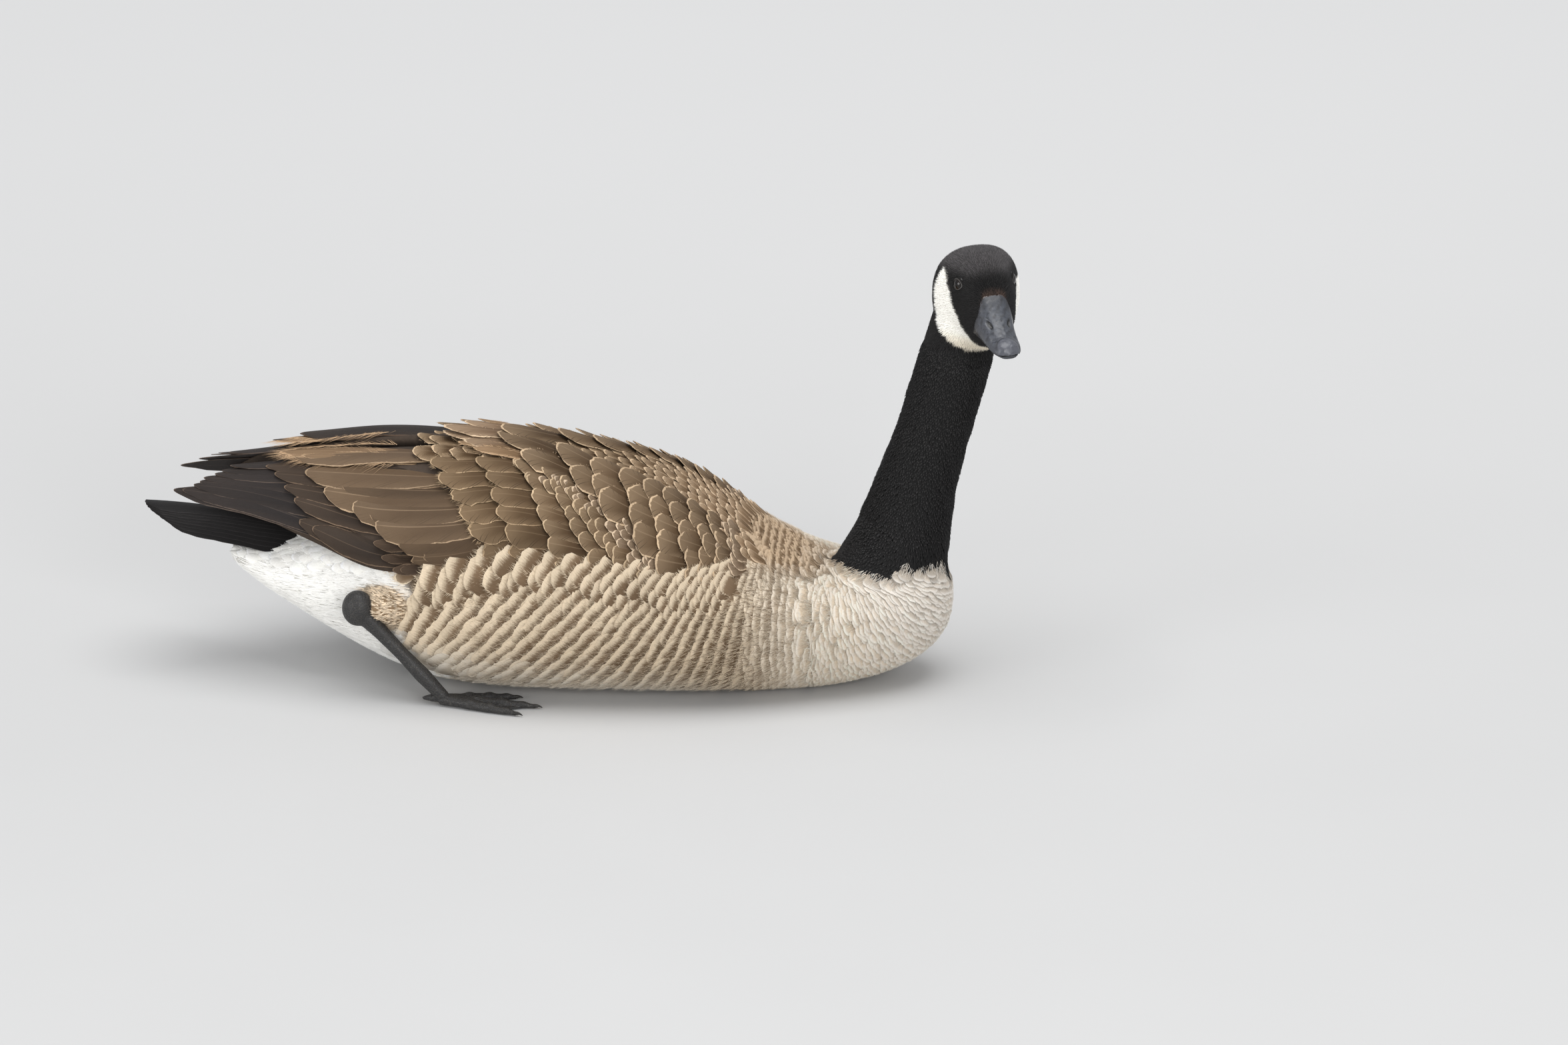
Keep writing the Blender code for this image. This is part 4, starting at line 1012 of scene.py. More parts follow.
def wingSurface(sideName):
    a = np.linspace(-0.335, 0.135, 236)
    b = np.linspace(-0.12, 1.12, 96)
    x, share = np.meshgrid(a, b, indexing="ij")
    top, half, middle, low = (cubic(wing["stations"], c, x) for c in (1, 2, 3, 4))
    top = top + wing["rise"][sideName] * ease(-0.02, -0.12, x)
    lowest = np.arccos(np.clip((low - middle) / (top - middle), 0, 1) ** (body["rounding"] / 2))
    rear, front = wing["inner"]
    inner = np.radians(rear + (front - rear) * ease(-0.08, 0.10, x))
    points = ringPoint(x, inner + (lowest - inner) * share, top, 0 * x, half, middle, body["rounding"])
    centre = np.stack((x, 0 * x, cubic(body["stations"], 4, x)), -1)
    reach = points - centre
    up, out = cubic(body["stations"], 1, x) - centre[..., 2], cubic(body["stations"], 3, x)
    level = np.abs(reach[..., 2] / up) ** body["rounding"] + np.abs(reach[..., 1] / out) ** body["rounding"]
    onBody = level ** (-1 / body["rounding"])
    start = np.interp(share, np.linspace(0, 1, 4), wing["fronts"])
    rim = np.maximum(ease(1.0, 0.84, share), ease(-0.10, -0.15, x))
    full = np.maximum(ease(0, 1, (start - x) / 0.040) * rim, ease(-0.16, -0.20, x))
    points = centre + reach * (full + (1 - full) * onBody)[..., None]
    points[..., 1] *= -rightAndLeft[sideName]
    made = surfaceMap(a, b, points, False, points - centre)
    made.update(unitA=1.0, unitB=8.0)
    return made


def wingThick(x):
    over = 0.0050 + 0.0050 * ease(0.12, 0.0, x)
    return over + (0.0026 - over) * ease(-0.10, -0.25, x)


def wingBed(sideName, surface, finish):
    rings = []
    shares = np.linspace(0, 1, 24)
    front = np.interp(shares, np.linspace(0, 1, 4), wing["fronts"]) - 0.004
    rear = -0.225 - 0.047 * shares
    for along in np.linspace(0, 1, 46):
        x = front + (rear - front) * along
        place, facing = sample(surface, x, shares)
        under = place - facing * np.maximum(wingThick(x), wing["bedSink"] + 0.001)[:, None]
        rings.append(np.vstack([place - facing * wing["bedSink"], under[::-1]]))
    made = loftTogether("wingBed_" + sideName, [rings])
    made.data.materials.append(finish)
    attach(made, "root")
    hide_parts("wing_" + sideName)


vaneTones = {
    "primary": ((0.017, 0.0135, 0.013), (0.105, 0.078, 0.062)),
    "secondary": ((0.030, 0.020, 0.014), (0.18, 0.122, 0.080)),
    "inner": ((0.080, 0.050, 0.028), (0.30, 0.205, 0.125)),
    "tertial": ((0.098, 0.062, 0.035), (0.38, 0.27, 0.17)),
    "buff": ((0.21, 0.132, 0.072), (0.56, 0.385, 0.235)),
    "greater": ((0.100, 0.063, 0.034), (0.43, 0.31, 0.19)),
    "covert": ((0.108, 0.067, 0.036), (0.56, 0.42, 0.27)),
    "marginal": ((0.150, 0.099, 0.060), (0.66, 0.51, 0.36)),
    "scapular": ((0.082, 0.050, 0.026), (0.56, 0.415, 0.27)),
    "lifted": ((0.17, 0.108, 0.065), (0.66, 0.50, 0.34)),
    "alula": ((0.045, 0.030, 0.021), (0.18, 0.124, 0.083)),
    # dark: painted shade, the far wing's secondaries and tertials as if in shadow
    "dark": ((0.014, 0.010, 0.008), (0.085, 0.053, 0.033)),
}
# where the scapulars end over the coverts, as (x, share)
scapularEdge = np.array(((-0.014, 0.29), (0.011, 0.355), (0.033, 0.47), (0.054, 0.775), (0.083, 0.945), (0.097, 1.085)))


def besideScapulars(back, down):
    return [(x - back, share + down) for x, share in scapularEdge]


# tips: a line of (x, share); length, half-width and lift at the first and last feather; margin at the sides and the tip
wingTiers = [
    dict(tips=((-0.266, 0.10), (-0.304, 0.92)), count=8, length=(0.155, 0.195), drift=0.04, half=(0.0075, 0.0085),
         high=(0.0012, 0.0008), kind="flight", tone="primary", roll=0.12, margin=(0.0005, 0.0008)),
    dict(tips=((-0.236, 0.20), (-0.200, 1.00)), count=6, length=(0.12, 0.11), drift=0.06, half=(0.0090, 0.0090),
         high=(0.0018, 0.0012), kind="flight", tone="secondary", roll=0.12, margin=(0.0006, 0.0008)),
    dict(tips=((-0.190, 0.35), (-0.112, 1.02)), count=8, length=(0.10, 0.075), drift=0.02, half=(0.0115, 0.0095),
         high=(0.0022, 0.0016), kind="flight", tone="inner", roll=0.14, margin=(0.0007, 0.0009)),
    dict(tips=((-0.215, 0.12), (-0.210, 0.28), (-0.192, 0.50), (-0.150, 0.72)), count=5, length=(0.130, 0.095), drift=0.0,
         half=(0.0150, 0.0145), high=(0.0036, 0.0028), kind="flight", tone="tertial", roll=0.14, margin=(0.0009, 0.0011)),
    dict(tips=((-0.228, 0.03), (-0.222, 0.075), (-0.210, 0.12)), count=3, length=(0.115, 0.095), drift=0.10,
         half=(0.0062, 0.0052), high=(0.0056, 0.0046), kind="flight", tone="buff", roll=0.05, margin=(0.0010, 0.0016),
         ragged=0.20, fringe=(190, 0.0150), frayed=True),
    dict(tips=((-0.151, 0.84), (-0.133, 1.05)), count=4, length=(0.042, 0.034), drift=0.0, half=(0.0046, 0.0042),
         high=(0.0034, 0.0030), kind="covert", tone="alula", roll=0.10, margin=(0.0005, 0.0006)),
    dict(tips=((-0.112, 0.24), (-0.071, 0.94)), count=6, length=(0.068, 0.056), drift=-0.02, half=(0.0130, 0.0115),
         high=(0.0036, 0.0028), kind="covert", tone="greater", roll=0.14, margin=(0.0006, 0.0010), ragged=0.09,
         fringe=(60, 0.0038)),
    dict(tips=((-0.076, 0.26), (-0.048, 0.96)), count=6, length=(0.052, 0.045), drift=-0.02, half=(0.0125, 0.0105),
         high=(0.0038, 0.0028), kind="covert", tone="greater", roll=0.13, margin=(0.0007, 0.0010), fringe=(24, 0.0016)),
    dict(tips=((-0.047, 0.27), (-0.014, 0.99)), count=7, length=(0.045, 0.040), drift=-0.02, half=(0.0115, 0.0095),
         high=(0.0038, 0.0028), kind="covert", tone="covert", roll=0.12, margin=(0.0007, 0.0010)),
    dict(tips=((-0.030, 0.27), (0.014, 1.00)), count=8, length=(0.034, 0.034), drift=-0.02, half=(0.0100, 0.0082),
         high=(0.0038, 0.0028), kind="covert", tone="covert", roll=0.10, margin=(0.0007, 0.0011)),
    dict(tips=((-0.015, 0.32), (0.033, 0.97)), count=9, length=(0.032, 0.030), drift=-0.02, half=(0.0090, 0.0074),
         high=(0.0040, 0.0026), kind="covert", tone="covert", roll=0.10, margin=(0.0007, 0.0011)),
    dict(tips=besideScapulars(0.024, 0.10), count=13, length=(0.028, 0.024), drift=-0.02, half=(0.0078, 0.0066),
         high=(0.0040, 0.0024), kind="covert", tone="covert", roll=0.08, margin=(0.0008, 0.0012)),
    dict(tips=besideScapulars(0.0155, 0.075), count=16, length=(0.022, 0.019), drift=-0.02, half=(0.0062, 0.0054),
         high=(0.0032, 0.0018), kind="contour", tone="marginal", roll=0.05, margin=(0.0009, 0.0013)),
    dict(tips=besideScapulars(0.0090, 0.050), count=18, length=(0.019, 0.016), drift=-0.02, half=(0.0054, 0.0048),
         high=(0.0032, 0.0018), kind="contour", tone="marginal", roll=0.05, margin=(0.0009, 0.0013)),
    dict(tips=besideScapulars(0.0030, 0.025), count=19, length=(0.017, 0.014), drift=-0.02, half=(0.0050, 0.0044),
         high=(0.0032, 0.0018), kind="contour", tone="marginal", roll=0.05, margin=(0.0009, 0.0013)),
    dict(tips=((0.100, 0.30), (0.104, 1.02)), count=10, length=(0.020, 0.018), drift=0.0, half=(0.0070, 0.0060),
         high=(0.0030, 0.0022), kind="contour", tone="marginal", roll=0.04, margin=(0.0009, 0.0013)),
]
scapularTiers = [
    dict(tips=((-0.104, -0.04), (-0.090, 0.05)), count=2, length=(0.090, 0.075), drift=0.02, half=(0.0110, 0.0090),
         high=(0.0082, 0.0066), kind="covert", tone="lifted", roll=0.06, margin=(0.0009, 0.0014), ragged=0.09,
         fringe=(24, 0.0018)),
    dict(tips=((-0.094, 0.10), (-0.080, 0.17)), count=2, length=(0.085, 0.070), drift=0.01, half=(0.0050, 0.0055),
         high=(0.0070, 0.0060), kind="flight", tone="buff", roll=0.06, margin=(0.0008, 0.0012), ragged=0.12,
         fringe=(50, 0.0045), frayed=True),
    dict(tips=((-0.062, -0.02), (-0.043, 0.17)), count=2, length=(0.075, 0.068), drift=0.02, half=(0.0165, 0.0155),
         high=(0.0066, 0.0056), kind="covert", tone="scapular", roll=0.08, margin=(0.0010, 0.0014), fringe=(20, 0.0013)),
    dict(tips=((-0.023, 0.00), (-0.010, 0.19)), count=2, length=(0.064, 0.060), drift=0.03, half=(0.0175, 0.0170),
         high=(0.0064, 0.0058), kind="covert", tone="scapular", roll=0.08, margin=(0.0010, 0.0015), fringe=(20, 0.0013)),
    dict(tips=((0.004, 0.02), (0.015, 0.36)), count=3, length=(0.056, 0.052), drift=0.03, half=(0.0175, 0.0180),
         high=(0.0062, 0.0056), kind="covert", tone="scapular", roll=0.07, margin=(0.0010, 0.0015), fringe=(22, 0.0014)),
    dict(tips=((0.027, 0.02), (0.039, 0.32), (0.040, 0.58)), count=4, length=(0.050, 0.048), drift=0.03,
         half=(0.0170, 0.0165), high=(0.0060, 0.0052), kind="covert", tone="scapular", roll=0.06,
         margin=(0.0010, 0.0015), fringe=(22, 0.0014)),
    dict(tips=((0.046, 0.03), (0.059, 0.42), (0.060, 0.80)), count=5, length=(0.044, 0.044), drift=0.03,
         half=(0.0155, 0.0150), high=(0.0056, 0.0046), kind="covert", tone="scapular", roll=0.05,
         margin=(0.0010, 0.0015), fringe=(20, 0.0013)),
    dict(tips=((0.062, 0.03), (0.075, 0.45), (0.079, 0.93)), count=6, length=(0.040, 0.040), drift=0.03,
         half=(0.0140, 0.0130), high=(0.0050, 0.0040), kind="covert", tone="scapular", roll=0.05,
         margin=(0.0010, 0.0014), fringe=(18, 0.0012)),
    dict(tips=((0.077, 0.02), (0.088, 0.45), (0.092, 1.04)), count=7, length=(0.036, 0.036), drift=0.03,
         half=(0.0125, 0.0112), high=(0.0044, 0.0034), kind="covert", tone="scapular", roll=0.04,
         margin=(0.0010, 0.0014), fringe=(16, 0.0012)),
    dict(tips=((0.091, 0.00), (0.100, 0.45), (0.101, 1.02)), count=9, length=(0.031, 0.029), drift=0.03,
         half=(0.0106, 0.0095), high=(0.0038, 0.0030), kind="contour", tone="scapular", roll=0.04,
         margin=(0.0010, 0.0014), fringe=(14, 0.0011)),
    dict(tips=((0.105, -0.02), (0.112, 0.50), (0.112, 1.00)), count=11, length=(0.026, 0.022), drift=0.03,
         half=(0.0088, 0.0080), high=(0.0030, 0.0024), kind="contour", tone="marginal", roll=0.03,
         margin=(0.0010, 0.0014), fringe=(12, 0.0010)),
]


def alongLine(line, count):
    # evenly spaced (x, share) along a line; a whole share is about 90 mm
    line = np.array(line, float)
    legs = np.hypot(np.diff(line[:, 0]), np.diff(line[:, 1]) * 0.09)
    far = np.concatenate([[0], np.cumsum(legs)])
    at = np.linspace(0, far[-1], count)
    return np.interp(at, far, line[:, 0]), np.interp(at, far, line[:, 1])


def layTier(coat, surface, tier, side, tiles):
    count = tier["count"]
    share = np.linspace(0, 1, count)
    tipX, tipShare = alongLine(tier["tips"], count)
    tipX = tipX + 0.0022 * dice.uniform(-1, 1, count)
    tipShare = tipShare + 0.012 * dice.uniform(-1, 1, count)
    length = np.interp(share, (0, 1), tier["length"]) * dice.uniform(0.95, 1.05, count)
    half = np.interp(share, (0, 1), tier["half"]) * dice.uniform(0.94, 1.06, count)
    high = np.interp(share, (0, 1), tier["high"]) + dice.uniform(0, 0.0007, count)
    tone = tier["tone"]
    if side > 0 and tone in ("secondary", "inner", "tertial"):
        # painted shade: the far wing's big vanes take the nearly black dark tones in place of their own browns, and
        # stand up as humps
        tone, high = "dark", high + 0.0030
    tint, rim = (np.array(value) * variation(count, 0.14) for value in vaneTones[tone])
    if tier["kind"] == "flight":
        # no vane hangs below the wing's lower edge
        girth = np.linalg.norm(tangents(surface, tipX + length * 0.4, tipShare)[1], axis=1)
        tipShare = np.minimum(tipShare, 1.0 - 0.9 * half / girth - max(0, tier["drift"]))
    tipShare = np.minimum(tipShare, 0.985)
    start = (np.minimum(tipX + length, 0.130), tipShare + tier["drift"])
    curl = dice.uniform(0.0, 0.0012, count)
    lay(coat, surface, tier["kind"], start, (tipX, tipShare), half, -0.0024, high, tint, rim, thick=0.00035,
        camber=0.12, roll=side * tier["roll"], curl=curl, bend=dice.uniform(-0.0012, 0.0012, count),
        tiles=(tiles["next"], tiles["total"]), rimWidth=tier["margin"], ragged=tier.get("ragged", 0.045))
    if "fringe" in tier:
        each, long = tier["fringe"]
        fringe(coat, surface, start, (tipX, tipShare), half, high + curl, rim, each, long, 0.00022, camber=0.12,
               frayed="frayed" in tier)
    tiles["next"] += count


vaneFinishes = {
    "flight": featherMaterial("flightVane", barbs=110, barbDepth=0.09, shaft=0.28, paintedRootShade=0.2, soft=0.14, splits=0.35,
                              roughness=0.55, sheen=0.0, specular=0.20, bumpDepth=0.0003),
    "covert": featherMaterial("covertVane", barbs=85, barbDepth=0.09, shaft=0.12, paintedRootShade=0.80, soft=0.24, splits=0.75,
                              roughness=0.75, sheen=0.0, specular=0.12, mottle=0.16),
}


def makeWing(sideName):
    side = rightAndLeft[sideName]
    surface = wingSurface(sideName)
    wingBed(sideName, surface, bedShadeFinish)
    groups = {"flight": [t for t in wingTiers if t["kind"] == "flight"],
              "covert": [t for t in wingTiers if t["kind"] != "flight"] + scapularTiers}
    for group, tiers in groups.items():
        coat = newCoat()
        tiles = {"next": 0, "total": sum(t["count"] for t in tiers)}
        for tier in tiers:
            layTier(coat, surface, tier, side, tiles)
        dress(f"wing_{group}_{sideName}", coat, vaneFinishes[group], ["wing_" + sideName])


def backSurface():
    # the saddle between the wings, level with their tops and running down onto the body in front
    a, b = np.linspace(-0.130, 0.150, 141), np.linspace(-0.64, 0.64, 65)
    x, angle = np.meshgrid(a, b, indexing="ij")
    top, half, middle = (cubic(wing["stations"], c, x) for c in (1, 2, 3))
    points = ringPoint(x, angle, top - 0.0010, 0 * x, half, middle, body["rounding"])
    onBody = ringPoint(x, angle, *(cubic(body["stations"], c, x) for c in (1, 2, 3, 4)), body["rounding"])
    points = mix(onBody, points, ease(0, 1, (0.104 - x) / 0.040))
    made = surfaceMap(a, b, points, False, np.broadcast_to(upward, points.shape))
    made.update(unitA=1.0, unitB=12.0)
    return made


def makeBack():
    # rows of arched mantle feathers between the scapulars
    surface = backSurface()
    coat = newCoat()
    x, row = 0.140, 0
    while x > -0.085:
        gap = float(np.interp(x, (-0.08, 0.05, 0.14), (0.0120, 0.0090, 0.0062)))
        half = gap * 0.95
        wide = float(np.interp(x, (-0.08, 0.0, 0.10), (0.20, 0.34, 0.58)))
        count = max(3, int(2 * wide * 0.105 / (half * 1.35)))
        angle = (np.linspace(-wide, wide, count) if row % 2 else np.linspace(-wide, wide, count + 1)[:-1] + wide / count)
        angle = angle + dice.uniform(-0.15, 0.15, count) * gap / 0.105
        start = x + dice.uniform(-0.12, 0.12, count) * gap - 0.012 * np.cos(angle * 3)
        share = ease(0.03, 0.12, start)
        tint = mix(np.array(vaneTones["scapular"][0]) + 0 * angle[:, None], tones["mantle"], share) * variation(count, 0.14)
        rim = mix(np.array(vaneTones["scapular"][1]) + 0 * angle[:, None], tones["mantleRim"], share) * variation(count, 0.08)
        end = (start - gap * dice.uniform(2.5, 2.9, count), angle + dice.uniform(-0.02, 0.02, count))
        high = dice.uniform(0.0020, 0.0028, count)
        lay(coat, surface, "contour", (start, angle), end, half, -0.0010, high, tint, rim, camber=0.14,
            rimWidth=(0.0009, 0.0013), ragged=0.06, curl=0.0006)
        fringe(coat, surface, (start, angle), end, half, high, rim, 12, 0.0012, 0.00020, camber=0.14)
        x -= gap
        row += 1
    dress("mantle", coat, bodyFinish, [])


def plainMaterial(name, colour, second, scale, roughness, specular=0.3, depth=0.0004, coatWeight=0.0):
    made, tree, shader = newMaterial(name, roughness, 0.0, specular, coatWeight)
    place = node(tree, "ShaderNodeTexCoord").outputs["Object"]
    cloud = node(tree, "ShaderNodeTexNoise", in_2=scale, in_3=4.0)
    link(tree, place, cloud.inputs[0])
    link(tree, blend2(tree, cloud.outputs[0], colour, second), shader.inputs["Base Color"])
    bump = node(tree, "ShaderNodeBump", in_0=0.5, in_1=depth)
    link(tree, cloud.outputs[0], bump.inputs["Height"])
    link(tree, bump.outputs[0], shader.inputs["Normal"])
    return made


# the bed's near-black browns are partly the wing's own dark colour and partly painted shade beneath the vanes
bedShadeFinish = plainMaterial("wingBed", (0.030, 0.021, 0.015), (0.060, 0.042, 0.030), 300.0, 0.85)
bodyFinish = featherMaterial("contourFeather", barbs=24, barbDepth=0.16, shaft=0.10, paintedRootShade=0.80, soft=0.40, splits=0.55,
                             roughness=0.85, sheen=0.0, specular=0.08, mottle=0.14)
flankFinish = featherMaterial("flankFeather", barbs=30, barbDepth=0.17, shaft=0.0, paintedRootShade=0.85, soft=0.45, splits=0.5,
                              roughness=0.9, sheen=0.0, specular=0.06, mottle=0.12, fan=0.82, sideGlow=0.0, streaks=0.32,
                              glowFrom=0.74)
downFinish = featherMaterial("softDown", barbs=8, barbDepth=0.03, shaft=0.0, paintedRootShade=0.10, soft=0.3, roughness=0.9,
                             sheen=0.0, specular=0.05, mottle=0.03, bumpDepth=0.0001)
for sideName in rightAndLeft:
    makeWing(sideName)
makeBack()


# Tail
def tailSurface():
    a = np.linspace(-1.06, 0.0, 60)      # minus the share of the length, so that tips lie at lower values
    b = np.linspace(-1.3, 1.3, 60)
    t, across = np.meshgrid(-a, b, indexing="ij")
    half = 0.0270 - 0.0160 * t
    droop = 0.0235 - 0.0165 * t
    height = 0.1120 + 0.0130 * np.sin(np.clip(t, 0, 1) * math.pi / 2) - droop * np.abs(across) ** 1.5
    points = np.stack((-0.206 - 0.1247 * t, across * half, height), -1)
    made = surfaceMap(a, b, points, False, np.broadcast_to(upward, points.shape))
    made.update(unitA=8.0, unitB=40.0)
    return made


def makeTail():
    surface = tailSurface()
    coat = newCoat()
    count = 16
    share = np.linspace(-1, 1, count)
    order = 1 - np.abs(share)
    tint = np.array((0.009, 0.008, 0.008)) * variation(count, 0.10)
    reach = 1.0 - 0.16 * share**2
    lay(coat, surface, "rectrix", (np.full(count, -0.02), share * 0.80), (-reach, share * 0.95), 0.0066,
        0.0, 0.0004 + 0.0030 * order, tint, tint * 3.0, thick=0.00035, camber=0.06,
        roll=np.where(share < 0, -1, 1) * 0.10, tiles=(0, count), rimWidth=(0.0003, 0.0005), ragged=0.04)
    finish = featherMaterial("tailVane", barbs=80, barbDepth=0.10, shaft=0.30, paintedRootShade=0.0, soft=0.05,
                             roughness=0.50, sheen=0.0, specular=0.18, bumpDepth=0.0003)
    dress("tailVanes", coat, finish, ["tail"])


makeTail()


# Body coat in rows
def bodyRow(coat, kind, s, phiFrom, phiTo, gap, lean, look, phase):
    # one row of contour feathers, evenly spaced; the row leans forward towards the back
    apart, length, half = gap * look["apart"], gap * look["long"], gap * look["half"]
    turns = np.linspace(phiFrom, phiTo, 121)
    line = sample(birdMap, s + lean * np.cos(turns), turns)[0]
    # where the map is stretched along the bird the rows need smaller steps, and are thinned elsewhere
    stretch = np.percentile(np.linalg.norm(tangents(birdMap, s + lean * np.cos(turns), turns)[0], axis=1), 95)
    far = np.concatenate([[0], np.cumsum(np.linalg.norm(np.diff(line, axis=0), axis=1))])
    count = max(3, int(far[-1] / apart))
    at = (np.arange(count) + phase + dice.uniform(-0.18, 0.18, count)) / count
    phi = np.interp(at * far[-1], far, turns)
    a = s + lean * np.cos(phi) + dice.uniform(-1, 1, count) * gap * look["stray"]
    along, across = tangents(birdMap, a, phi)
    points, facing = sample(birdMap, a, phi)
    row = unit(across - along * (lean * np.sin(phi))[:, None])
    ahead = unit(np.cross(facing, row))
    ahead = ahead * np.where(dot(ahead, along) > 0, -1, 1)[:, None]
    ahead = unit(ahead + row * dice.uniform(-0.14, 0.14, count)[:, None])
    reach = ahead * (length * dice.uniform(1 - look["uneven"], 1 + look["uneven"], count))[:, None]
    da, db = steps(along, across, reach)
    # a second step from halfway follows the map where it changes scale
    da, db = steps(*tangents(birdMap, a + da * 0.5, phi + db * 0.5), reach)
    base, rim = markings(points, a, phi)
    crowding = np.linalg.norm(along, axis=1) / stretch
    keep = (neckShare(points, a, phi) < 0.5) & ((crowding > 0.75) | (dice.uniform(0, 0.93, count) < crowding))
    climb = np.zeros(count)
    if look["climbs"]:
        # the flank rises over the lower edge of the folded wing and ends there
        tips = sample(birdMap, a + da, phi + db)[0]
        above = tips[:, 2] - cubic(wing["stations"], 4, tips[:, 0])
        keep &= (above < 0.004) | (tips[:, 0] > 0.117)
        climb = 0.0048 * ease(-0.024, -0.004, above) * ease(0.120, 0.100, tips[:, 0])
    if not keep.any():
        return gap / stretch
    a, phi, da, db, base, rim, climb = (values[keep] for values in (a, phi, da, db, base, rim, climb))
    count = len(a)
    base, rim = base * variation(count, 0.15), rim * variation(count, 0.07)
    start, end = (a, phi), (a + da, phi + db)
    # rows towards the breast lie flatter
    rise = float(np.interp(s, (0.100, 0.145), (1.0, look["front"])))
    high = look["high"] * rise + climb + dice.uniform(0, 0.0006, count)
    half = half * (1 - 60 * climb)
    lay(coat, birdMap, kind, start, end, half, -0.0008, high, base, rim, thick=0.0003, camber=look["camber"],
        roll=dice.uniform(-1, 1, count) * look["roll"], curl=look["curl"] * rise, rimWidth=(gap * look["side"], gap * look["tip"]),
        ragged=0.07)
    if look["barbs"]:
        fringe(coat, birdMap, start, end, half, high + look["curl"], rim, look["barbs"], gap * look["barbLong"],
               0.00020, camber=look["camber"])
    return gap / stretch


def bodyRows(coat, kind, sFrom, sTo, phis, gapAt, leanAt, **changes):
    look = {"apart": 0.92, "long": 2.3, "half": 0.63, "stray": 0.14, "high": 0.0022, "curl": 0.0008,
            "side": 0.10, "tip": 0.20, "barbs": 8, "barbLong": 0.24, "camber": 0.16,
            "uneven": 0.08, "climbs": False, "roll": 0.06, "front": 1.0, **changes}
    s, index = sFrom, 0
    while s > sTo:
        s -= bodyRow(coat, kind, s, *phis, gapAt(s), leanAt(s), look, (index % 2) * 0.5)
        index += 1


def looseBarbs(coat, count, wanted, long, low, high):
    # hair-thin barbs over the rows, pale ones more often than dark
    s, phi = placesOnSkin(count, lambda points: wanted(ringS[:-1, None], ringPhi[None, :]))
    points, _ = sample(birdMap, s, phi)
    above = points[:, 2] - cubic(wing["stations"], 4, points[:, 0])
    keep = (neckShare(points, s, phi) < 0.5) & ((above < -0.002) | (points[:, 0] > 0.112))
    s, phi, points = s[keep], phi[keep], points[keep]
    count = len(s)
    base, rim = markings(points, s, phi)
    tone = np.where(dice.uniform(0, 1, count)[:, None] < 0.62, rim, base * 1.1) * variation(count, 0.12)
    along, across = tangents(birdMap, s, phi)
    swing = dice.normal(0.0, 0.30, count)
    way = unit(across) * np.sin(swing)[:, None] - unit(along) * np.cos(swing)[:, None]
    da, db = steps(along, across, way * (long * dice.uniform(0.6, 1.3, count))[:, None])
    lay(coat, birdMap, "sliver", (s, phi), (s + da, phi + db), dice.uniform(0.00015, 0.00028, count), low,
        high * dice.uniform(0.9, 1.15, count), np.minimum(tone, 0.95), np.minimum(tone, 0.95), thick=0.00018, camber=0.0)


